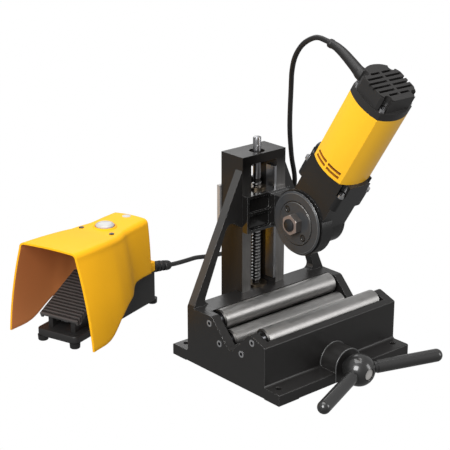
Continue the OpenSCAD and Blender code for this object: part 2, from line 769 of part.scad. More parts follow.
// Wheel shaft, driver and wheel
module wheel_shaft() color(steel) wheel_frame() {
    translate([0, 0, -cover_x - arm_edge + seat]) cylinder(h = cover_x + arm_edge - seat + wheel_z0,
        r = shaft_r);
    translate([0, 0, wheel_z0 - over]) cylinder(h = wheel_t + nut_h + bolt_out + over, r = bolt_end_r);
    translate([0, 0, wheel_z1 + nut_h + bolt_out]) intersection() {
        translate([0, 0, -dome_r + edge_r]) sphere(r = dome_r);
        cylinder(h = edge_r, r = bolt_end_r);
    }
}
nut_h = 11;
bolt_end_r = 9;
bolt_out = 2.5;
dome_r = (bolt_end_r * bolt_end_r + edge_r * edge_r) / (2 * edge_r);

module wheel_gear() color(steel) wheel_frame() translate([0, 0, -motor_x - gear_x0 - gear_l]) difference() {
    rotate([0, 0, -motor_lean]) linear_extrude(gear_l) polygon(teeth(wheel_gear_teeth, wheel_gear_r,
        spur_add, spur_ded, tooth_share));
    translate([0, 0, -over]) cylinder(h = gear_l + 2 * over, r = shaft_r);
}
spur_add = 1;
spur_ded = 1.5;

module wheel_driver() color(steel) wheel_frame() {
    ring(-nose_x0 - driver_t + seat, wheel_z0 + nose_x0 + driver_t - seat, driver_r, shaft_r);
    pin_places() translate([0, 0, wheel_z0 - over]) cylinder(h = wheel_t, r = pin_r);
}

module pin_places() for (k = [0, 1]) rotate([0, 0, pin_turn + 180 * k])
    translate([pin_at, 0, 0]) children();

module cutting_wheel() color("#4a4b4d") wheel_frame() translate([0, 0, wheel_z0]) difference() {
    rotate_extrude() polygon([
        [bolt_end_r + run, 0], [wheel_r * rim_share, 0], [wheel_r, wheel_t * plate_share / 2],
        [wheel_r * rim_share, wheel_t * plate_share], [wheel_r * hub_step_share, wheel_t * plate_share],
        [wheel_r * hub_step_share, wheel_t], [bolt_end_r + run, wheel_t]
    ]);
    pin_places() translate([0, 0, -over]) cylinder(h = wheel_t + 2 * over, r = pin_r + seat);
}
plate_share = 0.7;

module wheel_nut() color(bright) wheel_frame() translate([0, 0, wheel_z1]) difference() {
    intersection() {
        cylinder(h = nut_h, d = nut_af / cos(30), $fn = 6);
        cylinder(h = nut_h, r1 = nut_af, r2 = nut_af * nut_share);
    }
    translate([0, 0, -over]) cylinder(h = nut_h + 2 * over, r = bolt_end_r);
}
nut_share = 0.53;

module counter_shaft() color(steel) counter_frame() {
    translate([0, 0, motor_x - cover_x - arm_edge + seat])
        cylinder(h = cover_x + 2 * arm_edge - 2 * seat - arm_x0, r = counter_r);
    translate([0, 0, -gear_x0 - gear_l]) rotate([0, 0, 180 / spur_teeth])
        linear_extrude(gear_l) polygon(teeth(spur_teeth, spur_r, spur_add, spur_ded, tooth_share));
}

module crown_gear() color(steel) counter_frame() difference() {
    union() {
        translate([0, 0, crown_face]) cylinder(h = crown_l, r = crown_r + edge_r / 2);
        for (i = [0:crown_teeth - 1]) rotate([0, 0, 360 / crown_teeth * (i + 1 / 2)])
            translate([0, 0, crown_tip]) linear_extrude(crown_face - crown_tip + over) polygon(crown_tooth);
    }
    cylinder(h = crown_face + crown_l + over, r = counter_r);
}
crown_in_share = 0.72;
crown_in = crown_r * crown_in_share;
crown_tooth = let (a = 360 / crown_teeth * tooth_share / 2) [
    [crown_in * cos(a), -crown_in * sin(a)], [crown_r * cos(a), -crown_r * sin(a)],
    [crown_r * cos(a), crown_r * sin(a)], [crown_in * cos(a), crown_in * sin(a)]
];

module bevel_pinion() color(steel) motor_frame() translate([0, 0, counter_s + crown_r]) {
    mirror([0, 0, 1]) linear_extrude(crown_r - crown_in, scale = crown_in / crown_r)
        polygon(teeth(pinion_teeth, pinion_r, pinion_r * ded_share, pinion_r * face_share / 2,
            tooth_share));
    cylinder(h = bush_t, r = rotor_r);
}

// Motor
bearing_s = 92;
bearing_w = 9;
rear_bearing_s = 246;
core_s0 = 130;
core_l = 55;
core_r = 21;
commutator_s = 192;
commutator_l = 18;
commutator_r = 13;
fan_s = 113;
fan_r = 30;
ear_s = 243;
face_half = 33;
face_low = 31;
corner_share = 0.8;
channel_at = motor_r * corner_share - m5_head;
channel_r = 5.5;
vent_h = 3.5;
vent_in = 2;
vent_w = 22;
boss_wall = 3;
motor_in = motor_r - motor_wall;
housing_outer = bulged(motor_r, motor_r * corner_share);
housing_inner = bulged(motor_in, motor_in * corner_share);

module cap_corners() for (x = [-1, 1], w = [-1, 1])
    translate([x * channel_at, w * channel_at, 0]) children();

module motor_housing() color(yellow) motor_frame() difference() {
    translate([0, 0, motor_s0]) linear_extrude(motor_l) polygon(housing_outer);
    difference() {
        translate([0, 0, motor_s0 + motor_wall]) linear_extrude(motor_l) polygon(housing_inner);
        // bosses of the end cap's screws
        cap_corners() translate([0, 0, motor_s1 - core_l / 2]) cylinder(h = core_l, r = m5_r + boss_wall);
    }
    translate([0, 0, motor_s0 - over]) cylinder(h = motor_wall + 2 * over, r = nut_r + edge_r);
    for (w = [-1, 1], s = [fan_s + boss_wall, fan_s + boss_wall + 2 * vent_h])
        translate([-2 * motor_r, w > 0 ? vent_in : -vent_in - vent_w, s])
            cube([4 * motor_r, vent_w, vent_h]);
    cap_corners() translate([0, 0, motor_s1 - core_l / 2 - over]) cylinder(h = core_l, r = m5_r + run);
}

module cap_face(r) intersection() {
    circle(r = r);
    translate([-face_half, -face_low]) square([2 * face_half, 2 * cap_r]);
}

module end_cap() color(iron) motor_frame() difference() {
    union() {
        translate([0, 0, motor_s1]) linear_extrude(ear_s - motor_s1) polygon(housing_outer);
        translate([0, 0, ear_s - over]) linear_extrude(motor_s2 - edge_r - ear_s + over) cap_face(cap_r);
        translate([0, 0, motor_s2 - edge_r - over]) linear_extrude(edge_r + over) cap_face(cap_r - edge_r);
    }
    difference() {
        translate([0, 0, motor_s1 - over]) cylinder(h = cap_l - motor_wall + over,
            r = face_low - motor_wall);
        translate([0, 0, rear_bearing_s]) cylinder(h = cap_l, r = nut_r + boss_wall);
    }
    translate([0, 0, rear_bearing_s - over]) cylinder(h = bearing_w + bush_t + over, r = nut_r);
    cap_corners() translate([0, 0, ear_s]) cylinder(h = cap_l, r = channel_r);
    cap_corners() translate([0, 0, motor_s1 - over]) cylinder(h = cap_l, r = m5_r + run);
    // cooling slots of the end face
    for (x = [-1, 1], w = SLOTS)
        translate([x > 0 ? vent_in : -vent_in - slot_l(w), w - vent_h / 2, motor_s2 - motor_wall - over])
            cube([slot_l(w), vent_h, motor_wall + 2 * over]);
    // socket and bore for the cord's boot
    translate([boot_x, face_low, boot_z]) rotate([-90, 0, 0])
        cylinder(h = cap_r, r = MOTOR_BOOT_R[0] + run);
    translate([boot_x, 0, boot_z]) rotate([-90, 0, 0]) cylinder(h = cap_r, r = cord_r + run);
}
slot_pitch = 8;
slot_rows = 6;
SLOTS = [for (i = [0:slot_rows - 1]) (i - (slot_rows - 1) / 2) * slot_pitch];
// A slot ends at the face's rim, or before the screws' channels
function slot_l(w) = abs(w) > channel_at - channel_r - vent_h ? channel_at - channel_r - vent_in - over
    : sqrt(pow(cap_r - edge_r - vent_in, 2) - pow(abs(w) + vent_h / 2, 2)) - vent_in;

module cap_screws() color(bright) motor_frame() cap_corners() translate([0, 0, ear_s])
    cap_screw(m5_r, ear_s - motor_s1 + core_l / 2 - over, m5_head, bush_t);

module field_stator() color("#5b5d60") motor_frame() translate([0, 0, core_s0])
    linear_extrude(core_l) difference() {
    polygon(housing_inner);
    circle(r = core_r + seat * 2);
    for (w = [-1, 1]) translate([0, w * core_r]) square([core_r * corner_share, core_r * corner_share],
        center = true);
}

module brush_gear() color("#6f4a2b") motor_frame() {
    translate([0, 0, commutator_s + commutator_l + edge_r]) linear_extrude(boss_wall) difference() {
        polygon(housing_inner);
        circle(r = commutator_r);
        cap_corners() circle(r = m5_r + boss_wall + run);
    }
    for (x = [-1, 1])
        slab([brush_l, commutator_r * corner_share, commutator_l], x * (commutator_r + run + brush_l / 2),
            0,
            commutator_s + edge_r + run);
}

module motor_bearings() color(bright) motor_frame() for (s = [bearing_s, rear_bearing_s])
    ring(s, bearing_w, nut_r, rotor_r + run);

module armature() color("#7a4b2c") motor_frame() {
    translate([0, 0, rotor_s0]) cylinder(h = rear_bearing_s + bearing_w + over - rotor_s0, r = rotor_r);
    ring(core_s0, core_l, core_r, rotor_r);
    for (s = [core_s0 - edge_r * 3, core_s0 + core_l]) ring(s, edge_r * 3, core_r * corner_share, rotor_r);
}
rotor_s0 = counter_s + crown_r + bush_t;

module commutator() color("#b5723b") motor_frame() translate([0, 0, commutator_s]) difference() {
    cylinder(h = commutator_l, r = commutator_r);
    translate([0, 0, -over]) cylinder(h = commutator_l + 2 * over, r = rotor_r);
    for (i = [0:commutator_bars - 1]) rotate([0, 0, 360 / commutator_bars * i])
        translate([commutator_r - seat, -seat / 2, edge_r]) cube([over, seat, commutator_l]);
}
commutator_bars = 12;
brush_l = motor_in - commutator_r - edge_r;

module cooling_fan() color("#d8d2c0") motor_frame() translate([0, 0, fan_s + seat * 2]) difference() {
    union() {
        cylinder(h = vent_in, r = fan_r);
        cylinder(h = fan_l, r = nut_r);
        for (i = [0:fan_blades - 1]) rotate([0, 0, 360 / fan_blades * i])
            translate([nut_r - over, -vent_in / 2, vent_in - over / 2])
                cube([fan_r - nut_r, vent_in, fan_l - vent_in]);
    }
    translate([0, 0, -over]) cylinder(h = fan_l + 2 * over, r = rotor_r);
}
fan_blades = 9;
fan_l = 10;

// Soft pieces: a tube along a list of points, its rings square to the path
function tangent(p, i) = unit(p[min(i + 1, len(p) - 1)] - p[max(i - 1, 0)]);
function tube_ring(p, i, r, ref, n) = let (t = tangent(p, i), u = unit(cross(t, ref)), v = cross(t, u))
    [for (k = [0:n - 1]) p[i] + r * (cos(360 * k / n) * u + sin(360 * k / n) * v)];
module tube(p, radii, ref, n) {
    m = len(p);
    rings = [for (i = [0:m - 1]) tube_ring(p, i, radii[i], ref, n)];
    polyhedron(points = [for (q = rings) each q], faces = loft_faces(m, n));
}
// Faces of a skin of m rings with n points each, closed by a flat face at both ends
function side_faces(m, n) = [for (i = [0:m - 2], k = [0:n - 1], h = [0, 1])
    let (a = i * n + k, b = i * n + (k + 1) % n) h == 0 ? [a, a + n, b] : [b, a + n, b + n]];
function loft_faces(m, n) = concat(
    [[for (k = [0:n - 1]) k]], side_faces(m, n), [[for (k = [n - 1:-1:0]) (m - 1) * n + k]]
);
// The same for rings that run out along a wall and back along its inside
function shell_faces(m, n) = concat(
    [for (k = [0:n / 2 - 2], h = [0, 1]) h == 0 ? [k, k + 1, n - 1 - k] : [k + 1, n - 2 - k, n - 1 - k]],
    side_faces(m, n),
    [for (k = [0:n / 2 - 2], h = [0, 1]) let (e = (m - 1) * n)
        h == 0 ? [e + k + 1, e + k, e + n - 1 - k] : [e + n - 2 - k, e + k + 1, e + n - 1 - k]]
);
// A smooth path through points, with q steps between two of them
function smooth(p, q) = let (m = len(p)) concat(
    [for (i = [0:m - 2], j = [0:q - 1]) let (
        a = p[max(i - 1, 0)], b = p[i], c = p[i + 1], d = p[min(i + 2, m - 1)], t = j / q)
        b + t * ((c - a) / 2 + t * (a - 5 / 2 * b + 2 * c - d / 2 + t * ((3 * b - a - 3 * c + d) / 2)))],
    [p[m - 1]]
);
function same(p, r) = [for (i = p) r];

cord_r = cord_d / 2;
tube_sides = 8;
z_up = [0, 0, 1];
boot_x = -13.5;
boot_down = 15.3;
boot_l = 68;
boot_r = 5.5;
// Shares of the relief's length outwards and along, and of its end radius
BOOT_SHARES = [
    [-0.072, 0, 1.64], [0.05, 0, 1.64], [0.13, 0.005, 1.45], [0.29, 0.015, 1.36], [0.59, 0.022, 1.24],
    [0.81, 0, 1.09], [1, -0.059, 1]
];
boot_z = motor_s2 - boot_down;
MOTOR_BOOT = [for (q = BOOT_SHARES) [boot_x, cap_r - edge_r + q[0] * boot_l, boot_z + q[1] * boot_l]];
MOTOR_BOOT_R = [for (q = BOOT_SHARES) q[2] * boot_r];
module motor_boot() color(rubber) motor_frame() tube(MOTOR_BOOT, MOTOR_BOOT_R, [1, 0, 0], boot_sides);
boot_sides = 16;

module foot_boot() color(rubber) foot_frame() tube(FOOT_BOOT, FOOT_BOOT_R, z_up, boot_sides);

MOTOR_ROUTE = [
    [10, -57.08, 473.71], [10.5, -51, 475.3], [16, -25, 475], [25, 8, 460], [36, 35, 437], [47, 53, 412],
        [57, 65, 383],
    [68, 78, 320], [79, 85, 272], [92, 91, 223], [85, 108, 180], [70, 119, 120], [62, 124, 80],
        [50, 128, 36],
    [42, 138, 12], [40, 154, 4], [40, 168.5, 3.8]
];
module cord_motor() color(rubber) let (p = smooth(MOTOR_ROUTE, 3)) tube(p, same(p, cord_r),
    [0.85, -0.5, 0], tube_sides);

FOOT_ROUTE = [
    [95.5, 224, 11.8], [118, 225, 10.5], [150, 230, 7], [180, 236, 4.5], [212, 255, 4], [252, 305, 4],
        [268, 360, 4],
    [240, 387, 4], [195, 376, 4], [130, 352, 20], [85, 342, 29], [45, 325, 36], [26, 318.8, 40.9]
];
module cord_foot() color(rubber) let (p = smooth(FOOT_ROUTE, 2)) tube(p, same(p, cord_r), z_up, tube_sides);

coil_x = 88;
coil_y = 176;
coil_turns = 4.25;
coil_step = 24;
coil_climb = 0.5;
coil_gap = 0.45;
function coil_at(t) = let (
    r = coil_r - (cord_d + coil_gap) * min(t, coil_turns - t),
    k = max(0, min(1, (t - coil_turns / 2) / coil_climb + 0.5)),
    z = cord_r + (cord_d + coil_gap) * k)
    [coil_x - r * cos(360 * t), coil_y + r * sin(360 * t), z];
COIL = concat([[40, 168.5, 3.8]], [for (i = [0:coil_turns * coil_step]) coil_at(i / coil_step)],
    [[95.5, 224, 11.8]]);
module cord_coil() color(rubber) tube(COIL, same(COIL, cord_r), z_up, wire_sides);

// Foot switch
body_x0 = 112;
body_x1 = foot_l + over;
plate_x0 = -4;
plate_front = 33;
foot_h = 8;
plate_z = 20;
pivot_x = 20;
pivot_z = 32;
pivot_half = 25;
pivot_x1 = 60;
post_x = 102;
post_y = 28.5;
post_r = 4;
wall_in = 11;
wall_x1 = body_x1 - wall_in;
post_deep = 12;
hood_screw_r = 2;
stop_x = 124;
lug_h = 36;
deck_z = 100;
deck_half = 33;
pedal_t = 4;
pedal_end = 97;
pedal_pin_r = 3;

foot_boot_l = 64;
foot_boot_y = -18;
foot_boot_r = 6;
// Shares of the relief's length outwards and down, and of its end radius
FOOT_BOOT_SHARES = [
    [0, 0, 1.5], [0.06, 0, 1.5], [0.15, 0.016, 1.33], [0.3, 0.047, 1.27], [0.5, 0.088, 1.17],
    [0.69, 0.133, 1.08], [1, 0.219, 1]
];
foot_boot_z = body_top - edge_r;
FOOT_BOOT = [for (q = FOOT_BOOT_SHARES)
    [body_x1 + q[0] * foot_boot_l, foot_boot_y, foot_boot_z - q[1] * foot_boot_l]];
FOOT_BOOT_R = [for (q = FOOT_BOOT_SHARES) q[2] * foot_boot_r];

module foot_feet() color(rubber) foot_frame() for (x = [0, foot_l], y = [-1, 1])
    translate([x, y * foot_half, 0]) cylinder(h = foot_h, r1 = foot_r, r2 = foot_r + over);
foot_r = 9.5;

module foot_base() color("#1d1e20") foot_frame() difference() {
    union() {
        translate([0, 0, foot_h]) linear_extrude(plate_z - foot_h) polygon(rounded([
            [plate_x0, -plate_front, corner_r], [body_x0, -body_half, 0], [body_x1, -body_half, corner_r],
            [body_x1, body_half, corner_r], [body_x0, body_half, 0], [plate_x0, plate_front, corner_r]
        ]));
        translate([0, 0, plate_z - over]) linear_extrude(body_top - plate_z + over) polygon(rounded([
            [body_x0, -body_half, edge_r], [body_x1, -body_half, corner_r],
            [body_x1, body_half, corner_r], [body_x0, body_half, edge_r]
        ]));
        for (y = [-1, 1]) translate([corner_r, y > 0 ? pivot_half - corner_r : -pivot_half, plate_z - over])
            cube([pivot_x1 - corner_r, corner_r, lug_h - plate_z + over]);
        for (y = [-1, 1]) translate([post_x, y * post_y, plate_z - over])
            cylinder(h = hood_back_top - hood_t - plate_z + over - seat, r = post_r);
    }
    for (y = [-1, 1]) translate([post_x, y * post_y, hood_back_top - hood_t - post_deep])
        cylinder(h = post_deep, r = hood_screw_r + run);
    // bore of the pedal's pin
    translate([pivot_x, 0, pivot_z]) rotate([90, 0, 0]) cylinder(h = 4 * pivot_half,
        r = pedal_pin_r + run, center = true);
    // hollow of the body
    slab([body_x1 - body_x0 - 2 * hood_t, 2 * deck_half, body_top], (body_x0 + body_x1) / 2, 0, plate_z);
}

module pedal_pin() color(bright) foot_frame() translate([pivot_x, 0, pivot_z]) rotate([90, 0, 0])
    cylinder(h = 2 * pivot_half + edge_r, r = pedal_pin_r, center = true);

// The pedal's frame: x runs up its slope from its front edge
module pedal_frame() foot_frame() translate([0, 0, pedal_z]) rotate([0, -pedal_slope, 0]) children();
pedal_l = pedal_end / cos(pedal_slope);
rib_pitch = 6;

module pedal() color("#2a2b2d") difference() {
    union() {
        pedal_frame() translate([0, -pedal_half, -pedal_t]) cube([pedal_l, 2 * pedal_half, pedal_t]);
        pedal_frame() for (x = [rib_pitch:rib_pitch:pedal_l - rib_pitch])
            translate([x, -pedal_half + edge_r, -over])
            cube([rib_pitch / 2, 2 * (pedal_half - edge_r), over + edge_r / 2]);
        pedal_frame() for (y = [-1, 1]) translate([0, y * (pedal_half - edge_r) - edge_r, -2 * pedal_t])
            cube([pedal_l, 2 * edge_r, pedal_t + over]);
        foot_frame() for (y = [-1, 1]) translate([pivot_x - corner_r / 2, y * lug_y - lug_t / 2,
            pivot_z - corner_r / 2])
            cube([corner_r, lug_t, corner_r * 2.2]);
    }
    foot_frame() translate([pivot_x, 0, pivot_z]) rotate([90, 0, 0])
        cylinder(h = 4 * pivot_half, r = pedal_pin_r + run, center = true);
    // room for the hood's posts when the pedal is down
    foot_frame() for (y = [-1, 1]) slab([post_room, post_room, hood_top], post_x,
        y * (post_y - post_r - edge_r + post_room / 2));
}
lug_t = 4;
post_room = 28;
lug_y = pivot_half - corner_r - lug_t / 2 - seat;

// Torsion spring round the pedal's pin
spring_wire = 0.8;
spring_r = pedal_pin_r + seat + spring_wire;
spring_turns = 6;
spring_pitch = 2.2;
module pedal_spring() color(bright) foot_frame() let (p = [for (i = [0:spring_turns * spring_step])
    [pivot_x + spring_r * cos(360 * i / spring_step), (i / spring_step - spring_turns / 2) * spring_pitch,
        pivot_z + spring_r * sin(360 * i / spring_step)]])
    tube(p, same(p, spring_wire), [0, 1, 0], wire_sides);
spring_step = 12;
wire_sides = 6;

module pedal_switch() color("#8c8f93") foot_frame() {
    slab([switch_l, switch_w, switch_h], switch_at, 0, plate_z);
    translate([switch_at, 0, plate_z + switch_h - over]) cylinder(h = corner_r + over, r = bush_t);
}
switch_l = 26;
switch_w = 34;
switch_h = 35.9;
switch_at = 84;

module stop_switch() color("#8c8f93") foot_frame() slab([switch_l, switch_w, deck_z - plate_z],
    stop_x + bush_t, 0, plate_z);

module stop_button() color("#d6d7d3") foot_frame() translate([stop_x, 0, hood_back_top]) {
    translate([0, 0, stop_gap]) intersection() {
        cylinder(h = stop_h, r = button_d / 2);
        translate([0, 0, stop_h - button_d * corner_share]) sphere(r = button_d * corner_share);
    }
    translate([0, 0, -stop_stem]) cylinder(h = stop_stem + stop_gap + over, r = bush_t);
}
stop_gap = 5;
stop_h = 8;
stop_stem = 40;

// The hood: stations of [x, half width and height of the edge, half width and height of the top]
hood_x0 = -18;
hood_low = 11;
hood_tail_half = 40.5;
hood_tail_top_half = 36.5;
// Shares along the hood, of the edge's width and height, and of the top's width and height.
// The shares along it run up to its crease, and beyond 1 from there to its back
HOOD_SHARES = [
    [0, 1, 0, 1, 1],
    [0.336, 0.948, 0.043, 0.938, 0.625],
    [0.629, 0.772, 0.553, 0.776, 0.25],
    [0.786, 0.628, 0.745, 0.59, 0],
    [0.864, 0.537, 0.83, 0.435, 0],
    [0.921, 0.353, 0.915, 0.155, 0],
    [1, 0.223, 1, 0.093, 0],
    [1.236, 0.144, 1.074, 0.068, 0],
    [1.564, 0.105, 1.096, 0.043, 0],
    [2, 0, 1, 0, 0]
];
hood_crease = 122;
HOOD = [for (q = HOOD_SHARES) [
    q[0] > 1 ? hood_crease + (q[0] - 1) * (wall_x1 + hood_t - hood_crease)
        : hood_x0 + q[0] * (hood_crease - hood_x0),
    hood_tail_half + q[1] * (mouth_half - hood_tail_half),
    hood_low + q[2] * (body_top + over - hood_low),
    hood_tail_top_half + q[3] * (mouth_top_half - hood_tail_top_half),
    hood_back_top + q[4] * (hood_top - hood_back_top)
]];
hood_bulge = 0.14;
hood_round = 9;
lip_l = 6;
lip_half = 7;
lip_h = 20;
// One side of a station, from the edge up to the top's middle, drawn in by t
function hood_side(s, t) = let (b = [s[1] - t, s[2]], c = [s[3] - t, s[4] - t], w = s[1] - s[3])
    concat(
        [for (k = [0:4]) let (q = k / 5, bulge = w * hood_bulge * 4 * q * (1 - q))
            [b[0] + (c[0] - b[0]) * q + bulge, b[1] + (c[1] - hood_round - b[1]) * q]],
        [for (a = [0:30:90]) [c[0] - hood_round * (1 - cos(a)), c[1] - hood_round * (1 - sin(a))]]
    );
function hood_ring(s) = let (o = hood_side(s, 0), i = hood_side(s, hood_t), n = len(o)) [
    each [for (k = [0:n - 1]) [s[0], o[k][0], o[k][1]]],
    each [for (k = [n - 1:-1:0]) [s[0], -o[k][0], o[k][1]]],
    each [for (k = [0:n - 1]) [s[0], -i[k][0], i[k][1]]],
    each [for (k = [n - 1:-1:0]) [s[0], i[k][0], i[k][1]]]
];
module foot_hood() color(yellow) foot_frame() difference() {
    union() {
        polyhedron(points = [for (s = HOOD) each hood_ring(s)], faces = shell_faces(len(HOOD),
            len(hood_ring(HOOD[0]))));
        translate([wall_x1, 0, 0]) along_x_from(hood_t) polygon([
            [-body_half + edge_r, body_top], [body_half - edge_r, body_top],
            [body_half - edge_r, hood_back_top - hood_round], [deck_half - corner_r,
                hood_back_top - hood_t / 2],
            [corner_r - deck_half, hood_back_top - hood_t / 2],
                [-body_half + edge_r, hood_back_top - hood_round]
        ]);
        slab([lip_l + hood_t, 2 * lip_half, lip_h], wall_x1 + hood_t / 2 + lip_l / 2,
            lip_half + edge_r - body_half, body_top + over);
    }
    for (y = [-1, 1]) translate([post_x, y * post_y, deck_z]) cylinder(h = hood_top,
        r = hood_screw_r + run);
    translate([stop_x, 0, deck_z]) cylinder(h = hood_top, r = bush_t + run * 2);
}
module along_x_from(length) rotate([90, 0, 90]) linear_extrude(length) children();

module hood_screws() color(bright) foot_frame() for (y = [-1, 1])
    translate([post_x, y * post_y, hood_back_top])
    cap_screw(hood_screw_r, post_deep, 2 * hood_screw_r - seat, hood_screw_r);

base_casting();
column();
guide_gib();
column_bolts();
roller_axles();
axle_screws();
roller_bearings();
rear_upper_roller();
rear_lower_roller();
front_lower_roller();
front_upper_roller();
crank_bushes();
screw_bearing();
top_bush();
crank_shaft();
crank_gear();
crank_hub();
crank_arms();
hub_disc();
lead_screw();
screw_gear();
carriage();
screw_nut();
keeper_plate();
m5_screws();
gear_housing();
gear_cover();
flange_screws();
motor_housing();
field_stator();
brush_gear();
motor_bearings();
end_cap();
cap_screws();
motor_boot();
armature();
commutator();
cooling_fan();
bevel_pinion();
counter_shaft();
crown_gear();
wheel_shaft();
wheel_gear();
wheel_driver();
cutting_wheel();
wheel_nut();
foot_base();
foot_feet();
foot_hood();
hood_screws();
pedal_switch();
stop_switch();
pedal_pin();
pedal();
pedal_spring();
stop_button();
foot_boot();
cord_motor();
cord_coil();
cord_foot();
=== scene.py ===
import json
import math

import bmesh
import bpy
from mathutils import Matrix, Vector


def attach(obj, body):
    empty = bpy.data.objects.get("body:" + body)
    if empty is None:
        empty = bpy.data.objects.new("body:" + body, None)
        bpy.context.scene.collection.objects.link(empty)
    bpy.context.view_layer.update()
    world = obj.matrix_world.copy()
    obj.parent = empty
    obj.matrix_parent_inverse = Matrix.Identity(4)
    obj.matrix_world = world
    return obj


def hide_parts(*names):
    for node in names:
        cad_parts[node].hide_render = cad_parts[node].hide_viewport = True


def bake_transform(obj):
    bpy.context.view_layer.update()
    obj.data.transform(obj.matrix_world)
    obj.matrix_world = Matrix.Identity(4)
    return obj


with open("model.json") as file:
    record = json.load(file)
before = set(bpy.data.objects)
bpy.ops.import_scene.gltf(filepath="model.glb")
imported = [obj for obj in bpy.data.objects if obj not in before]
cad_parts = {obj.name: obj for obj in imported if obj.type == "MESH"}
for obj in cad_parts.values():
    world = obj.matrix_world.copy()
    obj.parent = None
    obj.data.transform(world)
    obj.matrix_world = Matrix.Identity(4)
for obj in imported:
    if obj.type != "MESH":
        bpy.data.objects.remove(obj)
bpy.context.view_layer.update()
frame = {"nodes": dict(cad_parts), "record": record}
print("stage: CAD nodes loaded")


# ---------------------------------------------------------------- shader helpers
class Wire:
    """A socket of a shader tree that can be added to, multiplied and so on."""

    def __init__(self, graph, socket):
        self.graph = graph
        self.socket = socket

    def math(self, operation, other=0.0, clamp=False):
        settings = {"operation": operation, "use_clamp": clamp}
        return self.graph.node("ShaderNodeMath", settings, [self, other])

    def __add__(self, other):
        return self.math("ADD", other)

    def __sub__(self, other):
        return self.math("SUBTRACT", other)

    def __mul__(self, other):
        return self.math("MULTIPLY", other)

    def __truediv__(self, other):
        return self.math("DIVIDE", other)

    def above(self, limit):
        """1 where the value is above the limit, else 0."""
        return self.math("GREATER_THAN", limit)

    def below(self, limit):
        """1 where the value is below the limit, else 0."""
        return self.math("LESS_THAN", limit)

    def between(self, low, high):
        return self.above(low) * self.below(high)

    def either(self, other):
        """The greater of two values: for masks, 1 where one of them is 1."""
        return self.math("MAXIMUM", other)


class Graph:
    """The node tree of one material or world."""

    def __init__(self, tree):
        self.tree = tree
        tree.nodes.clear()

    def node(self, kind, settings=None, inputs=None, out=0):
        made = self.tree.nodes.new(kind)
        for key, value in (settings or {}).items():
            setattr(made, key, value)
        pairs = inputs.items() if isinstance(inputs, dict) else enumerate(inputs or [])
        for key, value in pairs:
            if isinstance(value, Wire):
                self.tree.links.new(value.socket, made.inputs[key])
            else:
                made.inputs[key].default_value = value
        return Wire(self, made.outputs[out]) if len(made.outputs) else None

    def here(self):
        """The place of the shaded point, in the object's own frame."""
        return self.node("ShaderNodeTexCoord", out="Object")

    def normal(self):
        """The direction that the face looks in."""
        return self.node("ShaderNodeNewGeometry", out="True Normal")

    def part(self, vector, axis):
        return self.node("ShaderNodeSeparateXYZ", inputs=[vector], out=axis)

    def vector(self, operation, *inputs, out=0):
        return self.node("ShaderNodeVectorMath", {"operation": operation}, inputs, out)

    def away(self, place):
        """The way from a place to the shaded point."""
        return self.vector("SUBTRACT", self.here(), place)

    def dot(self, vector, line):
        return self.vector("DOT_PRODUCT", vector, line, out="Value")

    def noise(self, size, detail, scale=(1, 1, 1)):
        place = self.node("ShaderNodeMapping", inputs={"Vector": self.here(), "Scale": scale})
        values = {"Vector": place, "Scale": 1.0 / size, "Detail": detail, "Roughness": 0.5}
        return self.node("ShaderNodeTexNoise", inputs=values)

    def mix(self, factor, a, b):
        inputs = {"Factor": factor, "A": a, "B": b}
        return self.node("ShaderNodeMix", {"data_type": "RGBA"}, inputs, out="Result")

    def bump(self, height, depth):
        inputs = {"Height": height, "Distance": depth, "Strength": 1.0}
        return self.node("ShaderNodeBump", inputs=inputs)


def colour(value, share=1.0):
    return (value[0] * share, value[1] * share, value[2] * share, 1.0)


# ---------------------------------------------------------------- places that finishes and pieces share
motor = {"place": Vector((0.0235, -0.016, 0.210)), "lean": math.radians(32)}
# the foot switch; its finishes use the turn in radians that is written out
foot = {"place": (-0.2369, 0.2533), "turn": math.radians(17.8), "finishTurn": 0.3107}


# ---------------------------------------------------------------- masks of the marks on a finish
def ribHighlightStripesMask(g, mark):
    """Lighter stripes along the ribs of the pedal: a painted highlight on the ribs."""
    line = (math.cos(foot["finishTurn"]), math.sin(foot["finishTurn"]), 0.0)
    phase = (g.dot(g.away((*foot["place"], 0.0)), line) / mark["pitch"]).math("FRACT")
    return phase.below(mark["share"])


def endsMask(g, mark):
    """The faces at the ends of a piece that lies along x."""
    return g.part(g.normal(), "X").math("ABSOLUTE").above(mark["facing"])


def slitShadeMask(g, mark):
    """The motor's vent slots, painted dark brown as painted shade inside them: their rows along the motor, on
    both sides of its middle.
    """
    c, n = math.cos(motor["lean"]), math.sin(motor["lean"])
    away = g.away(motor["place"])
    along, across = g.dot(away, (0, -n, c)), g.dot(away, (0, c, n)).math("ABSOLUTE")
    rows = [(along - row).math("ABSOLUTE").below(mark["half"]) for row in mark["rows"]]
    return across.between(*mark["across"]) * rows[0].either(rows[1])


def paintedSlantLightMask(g, mark):
    """The faces that slant upwards, above a height, painted lighter: painted light, as faces that look up catch
    more light.
    """
    return g.part(g.normal(), "Z").between(*mark["facing"]) * g.part(g.here(), "Z").above(mark["height"])


def shadeRingsMask(g, mark):
    """Rings about lines along x, each given by y, z and two radii, painted dark: painted shade for the pin
    holes and for the shadow beside the driver's step.
    """
    masks = []
    for y, z, low, high in mark["rings"]:
        flat = g.vector("MULTIPLY", g.away((0.0, y, z)), (0.0, 1.0, 1.0))
        masks.append(g.vector("LENGTH", flat, out="Value").between(low, high))
    return masks[0].either(masks[1]).either(masks[2])


def insideShadeMask(g, mark):
    """The inner faces of the hood, painted darker as painted shade: they look towards its middle plane, or
    down.
    """
    line = (-math.sin(foot["finishTurn"]), math.cos(foot["finishTurn"]), 0.0)
    normal = g.normal()
    inwards = g.dot(g.away((*foot["place"], 0.0)), line) * g.dot(normal, line)
    return inwards.below(mark["inwards"]).either(g.part(normal, "Z").below(mark["down"]))


markMasks = {"ribHighlightStripes": ribHighlightStripesMask, "ends": endsMask, "slitShade": slitShadeMask, "paintedSlantLight": paintedSlantLightMask,
             "rings": shadeRingsMask, "inside": insideShadeMask}


